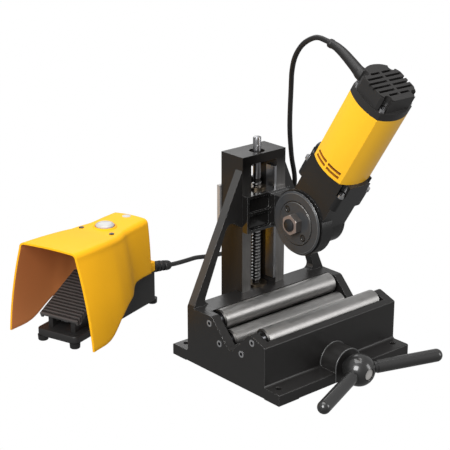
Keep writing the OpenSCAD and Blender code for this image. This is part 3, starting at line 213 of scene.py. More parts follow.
def material(name, look):
    """A finish from a dictionary of values: colour, roughness, metallic, coat, grain and marks."""
    made = bpy.data.materials.new(name)
    made.use_nodes = True
    g = Graph(made.node_tree)
    grain = g.noise(look["grainSize"], 2.0, look.get("stretch", (1, 1, 1)))
    blotch = g.noise(look.get("blotchSize", 0.03), 4.0)
    spread = look.get("spread", 0.12)
    tint = g.mix(blotch, colour(look["colour"], 1 - spread), colour(look["colour"], 1 + spread))
    metal = look.get("metallic", 0.0)
    for key, maskOf in markMasks.items():
        if key in look:
            tint = g.mix(maskOf(g, look[key]), tint, colour(look[key]["colour"]))
    if "machined" in look:
        # the bare face has streaks of its own, and turns dark towards its top
        bare = look["machined"]
        mask = g.part(g.here(), "Y").below(bare["y"]) * g.part(g.normal(), "Y").below(bare["facing"])
        streak = g.noise(bare["streakSize"], 3.0, (1, 1, 0.05))
        steel = g.mix(streak, *[colour(bare["colour"], share) for share in bare["streaks"]])
        fade = (g.part(g.here(), "Z") - bare["fadeFrom"]) * bare["fadeRate"]
        steel = g.mix(fade.math("MULTIPLY", bare["fade"], clamp=True), steel, colour(look["colour"], 2.0))
        tint = g.mix(mask, tint, steel)
        metal = mask * bare["metallic"] + metal * 0.5
    rough = (grain - 0.5) * look.get("roughGrain", 0.1) + (blotch - 0.5) * look.get("roughBlotch", 0.12)
    shader = g.node("ShaderNodeBsdfPrincipled", inputs={
        "Base Color": tint,
        "Roughness": (rough + look["roughness"]).math("MAXIMUM", 0.04),
        "Metallic": metal,
        "Coat Weight": look.get("coat", 0.0),
        "Coat Roughness": look.get("coatRoughness", 0.15),
        "Specular IOR Level": look.get("specular", 0.5),
        "Normal": g.bump(grain, look["grainDepth"]),
    })
    g.node("ShaderNodeOutputMaterial", inputs={"Surface": shader})
    return made


looks = {
    "blackEnamel": {"colour": (0.0125, 0.0118, 0.0114), "roughness": 0.36, "grainSize": 0.0016,
                    "grainDepth": 0.00006, "coat": 0.1, "coatRoughness": 0.3, "blotchSize": 0.012,
                    "roughGrain": 0.08, "specular": 0.36,
                    # the slanting faces up high are painted lighter: painted light
                    "paintedSlantLight": {"facing": (0.15, 0.85), "height": 0.09, "colour": (0.048, 0.047, 0.046)}},
    # the base's edges: worn paint, and made lighter still as a painted highlight
    "wornHighlightEdge": {"colour": (0.42, 0.415, 0.41), "roughness": 0.4, "grainSize": 0.0016,
                 "grainDepth": 0.00003, "metallic": 0.5, "spread": 0.55, "blotchSize": 0.006},
    # edges of glossy black parts painted light grey: a painted highlight
    "glossHighlightEdge": {"colour": (0.34, 0.34, 0.34), "roughness": 0.3, "grainSize": 0.0016,
                  "grainDepth": 0.00001, "metallic": 0.5, "coat": 0.6, "spread": 0.3,
                  "blotchSize": 0.008},
    # edges a little lighter than the black body: a faint painted highlight
    "softHighlightEdge": {"colour": (0.05, 0.05, 0.053), "roughness": 0.35, "grainSize": 0.0016,
                 "grainDepth": 0.00003, "metallic": 0.3, "spread": 0.3, "blotchSize": 0.008},
    "blackBar": {"colour": (0.0135, 0.0125, 0.012), "roughness": 0.4, "grainSize": 0.0012,
                 "grainDepth": 0.00003, "stretch": (1, 1, 0.06), "metallic": 0.3, "specular": 0.34,
                 "machined": {"y": 0.0636, "facing": -0.97, "colour": (0.23, 0.222, 0.215),
                              "metallic": 0.85, "streakSize": 0.0035, "streaks": (0.72, 1.25),
                              "fadeFrom": 0.225, "fadeRate": 25.0, "fade": 0.7}},
    "paleSteel": {"colour": (0.36, 0.345, 0.335), "roughness": 0.42, "grainSize": 0.001,
                  "grainDepth": 0.00002, "stretch": (1, 1, 0.08), "metallic": 0.35, "spread": 0.15,
                  "blotchSize": 0.012},
    "screwSteel": {"colour": (0.13, 0.13, 0.138), "roughness": 0.38, "grainSize": 0.0009,
                   "grainDepth": 0.00002, "metallic": 0.9, "spread": 0.2, "blotchSize": 0.006},
    "wheelRim": {"colour": (0.050, 0.052, 0.055), "roughness": 0.33, "grainSize": 0.0009,
                 "grainDepth": 0.00002, "metallic": 0.25, "spread": 0.15, "blotchSize": 0.01,
                 "roughBlotch": 0.2,
                 # painted shade: dark discs for the pin holes and a dark ring for the shadow beside the
                 # driver's raised step
                 "rings": {"rings": [(0.00006, 0.22784, 0, 0.0053), (-0.03206, 0.19216, 0, 0.0053),
                                     (-0.016, 0.21, 0.0311, 0.0328)],
                           "colour": (0.004, 0.004, 0.004)}},
    # steel edges painted light: a painted highlight
    "steelHighlightEdge": {"colour": (0.3, 0.29, 0.28), "roughness": 0.3, "grainSize": 0.0009,
                   "grainDepth": 0.00002, "metallic": 0.8, "spread": 0.3, "blotchSize": 0.006},
    # the boss's edge lines: worn, and lighter than the casting as a painted highlight
    "bossWornHighlightEdge": {"colour": (0.085, 0.085, 0.085), "roughness": 0.3, "grainSize": 0.0016,
                 "grainDepth": 0.00001, "metallic": 0.3, "spread": 0.4, "blotchSize": 0.006},
    "crankEnamel": {"colour": (0.011, 0.0108, 0.0106), "roughness": 0.42, "grainSize": 0.004,
                    "grainDepth": 0.000002, "coat": 1.0, "coatRoughness": 0.13, "specular": 0.35,
                    "blotchSize": 0.03, "roughBlotch": 0.05},
    "discPale": {"colour": (0.6, 0.58, 0.56), "roughness": 0.34, "grainSize": 0.0008,
                 "grainDepth": 0.00001, "metallic": 0.45},
    "pedalPlastic": {"colour": (0.016, 0.015, 0.0145), "roughness": 0.42, "grainSize": 0.0007,
                     "grainDepth": 0.00003,
                     # lighter stripes on the ribs: a painted highlight
                     "ribHighlightStripes": {"pitch": 0.006 * math.cos(math.radians(25)), "share": 0.52,
                                 "colour": (0.075, 0.07, 0.068)}},
    # rib edges painted lighter: a painted highlight
    "ribHighlightEdge": {"colour": (0.11, 0.105, 0.1), "roughness": 0.4, "grainSize": 0.0007,
                "grainDepth": 0.00002},
    "brownSteel": {"colour": (0.07, 0.062, 0.057), "roughness": 0.36, "grainSize": 0.0009,
                   "grainDepth": 0.00003, "metallic": 0.25, "spread": 0.3, "blotchSize": 0.005,
                   "ends": {"facing": 0.3, "colour": (0.23, 0.178, 0.155)}},
    "screwRidge": {"colour": (0.5, 0.5, 0.5), "roughness": 0.3, "grainSize": 0.0009,
                   "grainDepth": 0.00002, "metallic": 1.0, "spread": 0.15, "blotchSize": 0.006},
    "glossCasting": {"colour": (0.0082, 0.0078, 0.0075), "roughness": 0.22, "grainSize": 0.003,
                     "grainDepth": 0.00008, "coat": 0.5, "coatRoughness": 0.1},
    "housingPaint": {"colour": (0.0108, 0.0106, 0.0106), "roughness": 0.34, "grainSize": 0.0022,
                     "grainDepth": 0.00006, "coat": 0.2, "coatRoughness": 0.16, "specular": 0.35},
    "turnedSteel": {"colour": (0.33, 0.33, 0.34), "roughness": 0.3, "grainSize": 0.0009,
                    "grainDepth": 0.00002, "metallic": 1.0, "spread": 0.06},
    "rollerSteel": {"colour": (0.345, 0.338, 0.33), "roughness": 0.42, "grainSize": 0.0008,
                    "grainDepth": 0.00002, "stretch": (1, 0.08, 0.08), "metallic": 1.0, "spread": 0.1,
                    "blotchSize": 0.014, "roughBlotch": 0.2,
                    # the end faces are painted dark: painted shade for the hollow ends
                    "ends": {"facing": 0.3, "colour": (0.06, 0.058, 0.056)}},
    "zincScrew": {"colour": (0.62, 0.62, 0.63), "roughness": 0.24, "grainSize": 0.0008,
                  "grainDepth": 0.00001, "metallic": 1.0},
    "darkScrew": {"colour": (0.05, 0.05, 0.052), "roughness": 0.35, "grainSize": 0.0008,
                  "grainDepth": 0.00001, "metallic": 0.8},
    "bronze": {"colour": (0.17, 0.135, 0.095), "roughness": 0.36, "grainSize": 0.001,
               "grainDepth": 0.00001, "metallic": 1.0},
    "wheelSteel": {"colour": (0.034, 0.033, 0.033), "roughness": 0.34, "grainSize": 0.0009,
                   "grainDepth": 0.00003, "metallic": 0.25, "spread": 0.15, "blotchSize": 0.008,
                   "roughBlotch": 0.25},
    "yellowShell": {"colour": (0.94, 0.50, 0.016), "roughness": 0.33, "grainSize": 0.0011,
                    "grainDepth": 0.00002, "coat": 0.18, "coatRoughness": 0.2, "spread": 0.03,
                    "blotchSize": 0.06,
                    # the vent slots painted dark brown: painted shade
                    "slitShade": {"rows": (0.11775, 0.12475), "half": 0.0021, "across": (0.0016, 0.0243),
                              "colour": (0.4, 0.135, 0.016)}},
    "yellowHood": {"colour": (0.93, 0.455, 0.012), "roughness": 0.5, "grainSize": 0.0009,
                   "grainDepth": 0.00003, "specular": 0.1, "spread": 0.03, "blotchSize": 0.08,
                   # inner faces painted darker and redder: painted shade
                   "inside": {"inwards": -0.0008, "down": -0.4, "colour": (0.74, 0.26, 0.085)}},
    "blackPlastic": {"colour": (0.0185, 0.0175, 0.017), "roughness": 0.42, "grainSize": 0.0007,
                     "grainDepth": 0.00004, "specular": 0.45},
    "palePlastic": {"colour": (0.46, 0.455, 0.44), "roughness": 0.35, "grainSize": 0.001,
                    "grainDepth": 0.00001, "coat": 0.2, "spread": 0.03},
    "greyPlastic": {"colour": (0.2, 0.21, 0.22), "roughness": 0.5, "grainSize": 0.001,
                    "grainDepth": 0.00002},
    "softRubber": {"colour": (0.0105, 0.01, 0.0098), "roughness": 0.46, "grainSize": 0.0009,
                   "grainDepth": 0.00001, "specular": 0.4},
    "copper": {"colour": (0.4, 0.17, 0.07), "roughness": 0.4, "grainSize": 0.0006, "grainDepth": 0.00006,
               "metallic": 0.8},
    "coreSteel": {"colour": (0.13, 0.13, 0.14), "roughness": 0.45, "grainSize": 0.0006,
                  "grainDepth": 0.00005, "metallic": 0.8},
}
finishes = {name: material(name, look) for name, look in looks.items()}

finishOf = {
    "blackEnamel": ["base_casting"],
    "crankEnamel": ["crank_hub", "crank_arms"],
    "blackBar": ["column"],
    "paleSteel": ["keeper_plate"],
    "screwSteel": ["lead_screw"],
    "glossCasting": ["carriage"],
    "housingPaint": ["gear_housing", "gear_cover"],
    "turnedSteel": ["guide_gib", "roller_axles", "roller_bearings", "crank_shaft", "crank_gear", "screw_gear",
                    "motor_bearings", "bevel_pinion", "counter_shaft", "crown_gear", "wheel_gear",
                    "pedal_pin"],
    "rollerSteel": ["rear_upper_roller", "rear_lower_roller", "front_lower_roller", "front_upper_roller"],
    "discPale": ["hub_disc"],
    "zincScrew": ["axle_screws", "m5_screws", "cap_screws", "flange_screws", "pedal_spring"],
    "darkScrew": ["column_bolts", "hood_screws", "wheel_shaft"],
    "brownSteel": ["wheel_nut"],
    "wheelRim": ["cutting_wheel"],
    "bronze": ["crank_bushes", "screw_bearing", "top_bush", "screw_nut", "commutator"],
    "wheelSteel": ["wheel_driver"],
    "yellowShell": ["motor_housing"],
    "yellowHood": ["foot_hood"],
    "blackPlastic": ["end_cap", "foot_base", "brush_gear"],
    "pedalPlastic": ["pedal"],
    "palePlastic": ["stop_button"],
    "greyPlastic": ["cooling_fan", "pedal_switch", "stop_switch"],
    "softRubber": ["foot_feet", "motor_boot", "foot_boot", "cord_motor", "cord_coil", "cord_foot"],
    "copper": ["armature"],
    "coreSteel": ["field_stator"],
}
finishName = {node: finish for finish, nodes in finishOf.items() for node in nodes}


def paint(obj, finish):
    obj.data.materials.clear()
    obj.data.materials.append(finishes[finish])


for nodeName, nodeObject in frame["nodes"].items():
    for materialSlot in nodeObject.material_slots:
        materialSlot.material = finishes[finishName[nodeName]]
print("stage: materials made")


# ---------------------------------------------------------------- camera, light and background
view = {
    "place": (-1.28155, -1.33491, 0.85181),
    "right": (0.75604, -0.65453, 0.0),
    "up": (0.21723, 0.25092, 0.94332),
    "back": (-0.61743, -0.71319, 0.33188),
    "lens": 109.43,
    "sensor": 36.0,
}
cameraData = bpy.data.cameras.new("camera")
cameraData.lens = view["lens"]
cameraData.sensor_width = view["sensor"]
cameraData.clip_start = 0.05
cameraData.clip_end = 20.0
camera = bpy.data.objects.new("camera", cameraData)
bpy.context.scene.collection.objects.link(camera)
columns = [Vector(view[key]).normalized() for key in ("right", "up", "back")]
camera.matrix_world = Matrix.Translation(view["place"]) @ Matrix(columns).transposed().to_4x4()
bpy.context.scene.camera = camera
bpy.context.scene.view_settings.view_transform = "Standard"

lamps = {
    "keyLeft": {"place": (-1.7, -0.75, 1.25), "aim": (0.0, 0.0, 0.15), "size": (1.1, 1.1), "power": 47},
    "skyTop": {"place": (-0.1, 0.1, 2.1), "aim": (0.0, 0.0, 0.1), "size": (1.5, 1.5), "power": 27},
    "fillRight": {"place": (1.2, -1.7, 0.8), "aim": (0.0, 0.0, 0.15), "size": (0.7, 1.3), "power": 14},
    "rimBack": {"place": (0.9, 1.6, 1.1), "aim": (0.0, 0.0, 0.25), "size": (0.9, 0.9), "power": 5},
}
for lampName, lamp in lamps.items():
    data = bpy.data.lights.new(lampName, "AREA")
    data.shape = "RECTANGLE"
    data.size, data.size_y = lamp["size"]
    data.energy = lamp["power"]
    thing = bpy.data.objects.new(lampName, data)
    thing.location = lamp["place"]
    thing.rotation_euler = (Vector(lamp["aim"]) - Vector(lamp["place"])).to_track_quat("-Z", "Y").to_euler()
    bpy.context.scene.collection.objects.link(thing)

world = bpy.data.worlds.new("studio")
bpy.context.scene.world = world
world.use_nodes = True
sky = Graph(world.node_tree)
rays = [sky.node("ShaderNodeLightPath", out=name) for name in ("Is Camera Ray", "Is Transmission Ray")]
height = sky.part(sky.node("ShaderNodeTexCoord", out="Generated"), "Z")
ramp = sky.node("ShaderNodeMapRange", inputs={"Value": height, "From Min": -1.0, "From Max": 1.0,
                                              "To Min": 0.2, "To Max": 0.5})
level = sky.mix(rays[0].either(rays[1]), ramp, (1.0, 1.0, 1.0, 1.0))
sky.node("ShaderNodeOutputWorld", inputs={
    "Surface": sky.node("ShaderNodeBackground", inputs={"Color": level, "Strength": 1.0})})
print("stage: camera and light set")


# ---------------------------------------------------------------- modelling helpers
def deselect():
    if bpy.context.mode != "OBJECT":
        bpy.ops.object.mode_set(mode="OBJECT")
    bpy.ops.object.select_all(action="DESELECT")


def activate(obj):
    deselect()
    obj.select_set(True)
    bpy.context.view_layer.objects.active = obj


def apply(obj, kind, values):
    """Adds one modifier with these values and applies it."""
    activate(obj)
    modifier = obj.modifiers.new(kind.lower(), kind)
    for key, value in values.items():
        setattr(modifier, key, value)
    bpy.ops.object.modifier_apply(modifier=modifier.name)


def bevelled(obj, width, angle):
    """Rounds the edges that bend by more than an angle in degrees."""
    apply(obj, "BEVEL", {"width": width, "segments": 2, "limit_method": "ANGLE",
                         "angle_limit": math.radians(angle)})


def settle(obj):
    """Puts the object's place and turn into its mesh."""
    activate(obj)
    bpy.ops.object.transform_apply(location=True, rotation=True, scale=True)


def smoothShade(obj, angle=35):
    activate(obj)
    bpy.ops.object.shade_smooth_by_angle(angle=math.radians(angle))


def outward(obj):
    activate(obj)
    bpy.ops.object.mode_set(mode="EDIT")
    bpy.ops.mesh.select_all(action="SELECT")
    bpy.ops.mesh.normals_make_consistent(inside=False)
    bpy.ops.object.mode_set(mode="OBJECT")


def slotOf(node):
    return next(part["material_slot"] for part in frame["record"]["subparts"] if part["node"] == node)


def finishPiece(obj, name, finish, body, slotName, nodes=()):
    obj.name = name
    obj.data.name = name
    if finish:
        paint(obj, finish)
    if body:
        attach(obj, body)
    if nodes:
        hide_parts(*nodes)
    return obj


bodyOf = {node: body for body, nodes in frame["record"]["behaviour"]["bodies"].items() for node in nodes}


def copyOf(source):
    """A copy of an object with a mesh of its own, without its marks and its parent."""
    copy = source.copy()
    copy.data = source.data.copy()
    for key in list(copy.keys()):
        del copy[key]
    bpy.context.scene.collection.objects.link(copy)
    copy.hide_render = copy.hide_viewport = False
    copy.parent = None
    return copy


# merging distance, angle of faces that count as flat, angle of edges that are rounded, and the shading's values
edgeValues = {"merge": 0.00002, "flat": 0.6, "bend": 28, "smooth": 50, "weight": 70}


def dressed(node, width, segments, edge=None):
    """A copy of a CAD node's mesh, with its edges rounded so that they catch the light."""
    source = frame["nodes"][node]
    place = source.matrix_world.copy()
    copy = copyOf(source)
    copy.matrix_world = place
    settle(copy)
    bpy.ops.object.mode_set(mode="EDIT")
    bpy.ops.mesh.select_all(action="SELECT")
    bpy.ops.mesh.remove_doubles(threshold=edgeValues["merge"])
    bpy.ops.mesh.dissolve_limited(angle_limit=math.radians(edgeValues["flat"]), delimit={"NORMAL"})
    bpy.ops.object.mode_set(mode="OBJECT")
    paint(copy, finishName[node])
    copy.data.materials.append(finishes[edge or finishName[node]])
    apply(copy, "BEVEL", {"width": width, "segments": segments, "limit_method": "ANGLE",
                          "angle_limit": math.radians(edgeValues["bend"]), "material": 1,
                          "use_clamp_overlap": True})
    smoothShade(copy, edgeValues["smooth"])
    apply(copy, "WEIGHTED_NORMAL", {"mode": "FACE_AREA", "weight": edgeValues["weight"], "keep_sharp": True})
    return finishPiece(copy, node + "_dressed", None, bodyOf[node], slotOf(node), [node])


def smoothPath(points, steps):
    """A path through the points, with that many steps between two of them."""
    count = len(points)
    path = []
    for i in range(count - 1):
        a, b = Vector(points[max(i - 1, 0)]), Vector(points[i])
        c, d = Vector(points[i + 1]), Vector(points[min(i + 2, count - 1)])
        for j in range(steps):
            t = j / steps
            square, cube = a - 2.5 * b + 2 * c - d / 2, (3 * b - a - 3 * c + d) / 2
            path.append(b + t * ((c - a) / 2 + t * (square + t * cube)))
    path.append(Vector(points[-1]))
    return path


def pathTube(name, path, radii, sides):
    """A closed tube along a path, with its own radius at each point."""
    curve = bpy.data.curves.new(name, "CURVE")
    curve.dimensions = "3D"
    curve.bevel_depth = 1.0
    curve.bevel_resolution = sides // 2 - 2
    curve.use_fill_caps = True
    curve.twist_mode = "MINIMUM"
    spline = curve.splines.new("POLY")
    spline.points.add(len(path) - 1)
    for point, place, radius in zip(spline.points, path, radii):
        point.co = (*place, 1.0)
        point.radius = radius
    tube = bpy.data.objects.new(name, curve)
    bpy.context.scene.collection.objects.link(tube)
    activate(tube)
    bpy.ops.object.convert(target="MESH")
    tube = bpy.context.view_layer.objects.active
    bpy.ops.object.mode_set(mode="EDIT")
    bpy.ops.mesh.select_all(action="SELECT")
    bpy.ops.mesh.remove_doubles(threshold=0.00001)
    bpy.ops.object.mode_set(mode="OBJECT")
    outward(tube)
    smoothShade(tube, 50)
    return tube


# ---------------------------------------------------------------- cord
cordValues = {"diameter": 0.0075, "coilRadius": 0.048, "gap": 0.00045, "turns": 4.25, "climb": 0.5,
              "centre": (0.088, 0.176), "step": 48}
# the cord's way from the motor to the coil, and from the coil to the foot switch, in millimetres
motorRoute = [
    (10, -57.08, 473.71), (10.5, -51, 475.3), (16, -25, 475), (25, 8, 460), (36, 35, 437), (47, 53, 412),
    (57, 65, 383), (68, 78, 320), (79, 85, 272), (92, 91, 223), (85, 108, 180), (70, 119, 120), (62, 124, 80),
    (50, 128, 36), (42, 138, 12), (40, 154, 4), (40, 168.5, 3.8),
]
footRoute = [
    (95.5, 224, 11.8), (118, 225, 10.5), (150, 230, 7), (180, 236, 4.5), (212, 255, 4), (252, 305, 4),
    (268, 360, 4), (240, 387, 4), (195, 376, 4), (145, 358, 16), (110, 348, 24.7), (85, 340, 28.8),
    (65, 333, 32.3), (45, 325.6, 36.4), (26, 318.8, 40.9),
]


def metres(points):
    return [Vector(point) / 1000 for point in points]


def coilPoint(turn):
    """A point of the coil: it winds inwards on the floor, then out again on top of its own turns."""
    pitch = cordValues["diameter"] + cordValues["gap"]
    radius = cordValues["coilRadius"] - pitch * min(turn, cordValues["turns"] - turn)
    rise = max(0.0, min(1.0, (turn - cordValues["turns"] / 2) / cordValues["climb"] + 0.5))
    angle = math.tau * turn
    return Vector((cordValues["centre"][0] - radius * math.cos(angle),
                   cordValues["centre"][1] + radius * math.sin(angle),
                   cordValues["diameter"] / 2 + pitch * rise))


coilSteps = int(cordValues["turns"] * cordValues["step"])
coilPath = [coilPoint(i / cordValues["step"]) for i in range(coilSteps + 1)]
cordPath = smoothPath(metres(motorRoute), 6)[:-1] + coilPath + smoothPath(metres(footRoute), 6)[1:]
cordLength = sum((b - a).length for a, b in zip(cordPath, cordPath[1:]))
cord = pathTube("cord", cordPath, [cordValues["diameter"] / 2] * len(cordPath), 12)
paint(cord, "softRubber")
slotOf("cord_motor")
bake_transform(cord)
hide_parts("cord_motor", "cord_coil", "cord_foot")
# the tie that holds the coil's turns together: a rounded rectangle across them, with overlapping ends
tie = {"y": 0.176, "middle": (0.1271, 0.00805), "half": (0.0103, 0.00845), "corner": 0.0036, "thick": 0.0006,
       "widen": 4.2, "overlap": 4, "lift": (0.0004, 0, 0.0003), "step": 15}
tieLine = []
for quarter, signs in enumerate([(1, 1), (-1, 1), (-1, -1), (1, -1)]):
    bend = [tie["middle"][k] + signs[k] * (tie["half"][k] - tie["corner"]) for k in range(2)]
    for degrees in range(90 * quarter, 90 * quarter + 91, tie["step"]):
        a = math.radians(degrees)
        tieLine.append(Vector((bend[0] + tie["corner"] * math.cos(a), tie["y"],
                               bend[1] + tie["corner"] * math.sin(a))))
tieLine += [point + Vector(tie["lift"]) for point in tieLine[:tie["overlap"]]]
cordTie = pathTube("cord_tie", tieLine, [tie["thick"]] * len(tieLine), 12)
for vertex in cordTie.data.vertices:
    vertex.co.y = tie["y"] + (vertex.co.y - tie["y"]) * tie["widen"]
finishPiece(cordTie, "cord_tie", "blackPlastic", "frame", slotOf("cord_coil"))
print("stage: cord laid, length", round(cordLength, 3))


# ---------------------------------------------------------------- dressed castings
# width of the rounding, its segments, and the finish of the edge where it differs; the lighter edge finishes
# are painted highlights, on the base also worn paint
plainBevels = {
    "base_casting": (0.0008, 2, "wornHighlightEdge"), "column": (0.0006, 2, "softHighlightEdge"),
    "carriage": (0.0013, 3, "glossHighlightEdge"), "gear_housing": (0.0010, 2, "glossHighlightEdge"),
    "gear_cover": (0.0007, 2, "glossHighlightEdge"), "motor_housing": (0.00025, 1, None), "end_cap": (0.0006, 2, None),
    "crank_hub": (0.0008, 2, "softHighlightEdge"), "foot_base": (0.0010, 2, None), "pedal": (0.0003, 1, "ribHighlightEdge"),
    "wheel_nut": (0.0004, 2, "steelHighlightEdge"), "cutting_wheel": (0.0003, 2, "steelHighlightEdge"),
    "wheel_driver": (0.0003, 2, "steelHighlightEdge"), "keeper_plate": (0.0005, 2, None),
    "hub_disc": (0.0005, 2, None), "guide_gib": (0.0003, 1, None), "hood_screws": (0.0003, 1, None),
}
for node, (width, segments, edge) in plainBevels.items():
    dressed(node, width, segments, edge)
print("stage: castings dressed")


# ---------------------------------------------------------------- foot switch hood
def footPoint(x, y, z):
    """A point of the foot switch's own frame, in millimetres, in the row frame."""
    c, s = math.cos(foot["turn"]), math.sin(foot["turn"])
    left, front = foot["place"]
    return Vector((left + (x * c - y * s) / 1000, front + (x * s + y * c) / 1000, z / 1000))


hood = {
    # x, half width at the edge, height of the edge, half width at the top, height of the top
    "stations": [
        (-18, 79.5, 11, 53.2, 158.5), (29, 77, 13, 52.2, 154.5), (70, 70.5, 36, 49.5, 150.6),
        (92, 65, 45, 46.6, 148.4), (105, 61.6, 48.5, 44.6, 148), (115, 57.8, 50.5, 42.2, 148),
        (123, 53.2, 54, 39.6, 148), (130, 49.8, 59, 38.3, 148), (138, 47.7, 62, 37.7, 148),
        (150, 46.3, 62.4, 37.3, 148), (166, 44.7, 61.6, 36.6, 148), (186, 42.4, 59.6, 35.2, 148),
    ],
    # the rows that close the rear: x, and the share of the last section
    "rear": [(186.8, 0.985), (187.6, 0.95), (187.8, 0.5), (187.8, 0.0)],
    "bulge": 0.14, "crown": 1.2, "corner": 9.5, "thickness": 0.0030,
    "along": 72, "side": 22, "cornerSteps": 8, "top": 10,
    "lean": {"by": 4.5, "fromX": 100, "overX": 86, "fromZ": 57, "overZ": 91},
}


def stationAt(x):
    """The hood's section values at x, on a smooth curve through the stations."""
    table = hood["stations"]
    i = max(k for k in range(len(table) - 1) if table[k][0] <= x + 1e-6)
    near = [table[max(i - 1, 0)], table[i], table[i + 1], table[min(i + 2, len(table) - 1)]]
    xa, xb, xc, xd = [station[0] for station in near]
    a, b, c, d = [Vector(station[1:]) for station in near]
    h = xc - xb
    mb = (c - a) / (xc - xa)
    mc = (d - b) / (xd - xb)
    s = (x - xb) / h
    return (b * (2 * s**3 - 3 * s**2 + 1) + mb * h * (s**3 - 2 * s**2 + s)
            + c * (-2 * s**3 + 3 * s**2) + mc * h * (s**3 - s**2))


def hoodSection(x):
    """Half of the section at x, from the edge up to the middle of the top."""
    edgeHalf, edgeHeight, topHalf, topHeight = stationAt(x)
    corner = hood["corner"]
    bow = (edgeHalf - topHalf) * hood["bulge"] * 4  # the parabola below is 1/4 at its middle
    rise = topHeight - corner - edgeHeight
    points = []
    for k in range(hood["side"]):
        q = k / hood["side"]
        points.append((edgeHalf + (topHalf - edgeHalf) * q + bow * q * (1 - q), edgeHeight + rise * q))
    for k in range(hood["cornerSteps"]):
        a = math.radians(90 * k / hood["cornerSteps"])
        points.append((topHalf - corner * (1 - math.cos(a)), topHeight - corner * (1 - math.sin(a))))
    for k in range(hood["top"] + 1):
        q = k / hood["top"]
        points.append(((topHalf - corner) * (1 - q), topHeight + hood["crown"] * math.sin(math.pi / 2 * q)))
    return points


def leaned(x, z):
    """The x of a point of the hood, whose rear part leans back."""
    lean = hood["lean"]
    share = max(0.0, (x - lean["fromX"]) / lean["overX"])
    return x + lean["by"] * share * (z - lean["fromZ"]) / lean["overZ"]


def wholeSection(x):
    """The section at x, from its one edge over the top to the other."""
    section = hoodSection(x)
    return section + [(-y, z) for y, z in section[-2::-1]]


rows = []
first, last = hood["stations"][0][0], hood["stations"][-1][0]
for i in range(hood["along"] + 1):
    x = first + (last - first) * i / hood["along"]
    rows.append([footPoint(leaned(x, z), y, z) for y, z in wholeSection(x)])
edgeHeight = hood["stations"][-1][2]
for x, share in hood["rear"]:
    shrunk = [(y * share, edgeHeight + (z - edgeHeight) * share) for y, z in wholeSection(last)]
    rows.append([footPoint(leaned(x, z), y, z) for y, z in shrunk])
across = len(rows[0])
deselect()
bpy.ops.mesh.primitive_grid_add(x_subdivisions=len(rows) - 1, y_subdivisions=across - 1, size=1.0)
shell = bpy.context.view_layer.objects.active
order = sorted(range(len(shell.data.vertices)),
               key=lambda k: (round(shell.data.vertices[k].co.x, 4), round(shell.data.vertices[k].co.y, 4)))
for k, index in enumerate(order):
    shell.data.vertices[index].co = rows[k // across][k % across]
outward(shell)
# the wall grows inwards, whichever way the faces look
middle = footPoint(90, 0, 90)
sample = shell.data.polygons[len(shell.data.polygons) // 3]
inside = -1.0 if sample.normal.dot(sample.center - middle) > 0 else 1.0
apply(shell, "SOLIDIFY", {"thickness": hood["thickness"], "offset": inside, "use_even_offset": True})
bevelled(shell, 0.0009, 50)
outward(shell)
smoothShade(shell, 45)
finishPiece(shell, "hood_shell", "yellowHood", "frame", slotOf("foot_hood"), ["foot_hood"])
print("stage: hood made")


# ---------------------------------------------------------------- foot switch details
def turned(name, profile, place, steps=40):
    """A piece turned about an upright axis: its profile is of (radius, height), in millimetres."""
    deselect()
    bpy.ops.mesh.primitive_circle_add(vertices=len(profile), radius=1.0)
    made = bpy.context.view_layer.objects.active
    for vertex, (radius, height) in zip(made.data.vertices, profile):
        vertex.co = (radius / 1000, 0, height / 1000)
    if profile[0][0] == profile[-1][0] == 0:
        # both ends lie on the axis, so the edge between them goes
        mesh = bmesh.new()
        mesh.from_mesh(made.data)
        closing = [edge for edge in mesh.edges
                   if abs(edge.verts[0].index - edge.verts[1].index) == len(profile) - 1]
        bmesh.ops.delete(mesh, geom=closing, context="EDGES")
        mesh.to_mesh(made.data)
        mesh.free()
    apply(made, "SCREW", {"axis": "Z", "angle": math.tau, "screw_offset": 0.0, "steps": steps,
                          "render_steps": steps, "use_merge_vertices": True, "merge_threshold": 0.00001})
    made.location = footPoint(*place)
    settle(made)
    outward(made)
    smoothShade(made, 32)
    made.name = name
    return made


def footBlock(name, low, high, farRounded, radius):
    """A block in the foot switch's frame, in millimetres, with its far or its near upright edges rounded."""
    deselect()
    bpy.ops.mesh.primitive_cube_add(size=1.0)
    made = bpy.context.view_layer.objects.active
    for vertex in made.data.vertices:
        vertex.co = [low[k] if vertex.co[k] < 0 else high[k] for k in range(3)]
    weight = made.data.attributes.new("bevel_weight_edge", "FLOAT", "EDGE")
    for edge in made.data.edges:
        a, b = (made.data.vertices[k].co for k in edge.vertices)
        upright = abs(a.x - b.x) < 1e-6 and abs(a.y - b.y) < 1e-6
        far = a.x > (low[0] + high[0]) / 2
        weight.data[edge.index].value = 1.0 if upright and far == farRounded else 0.0
    apply(made, "BEVEL", {"width": radius, "segments": 5, "limit_method": "WEIGHT"})
    for vertex in made.data.vertices:
        vertex.co = footPoint(*vertex.co)
    bevelled(made, 0.001, 40)
    outward(made)
    smoothShade(made, 50)
    made.name = name
    return made


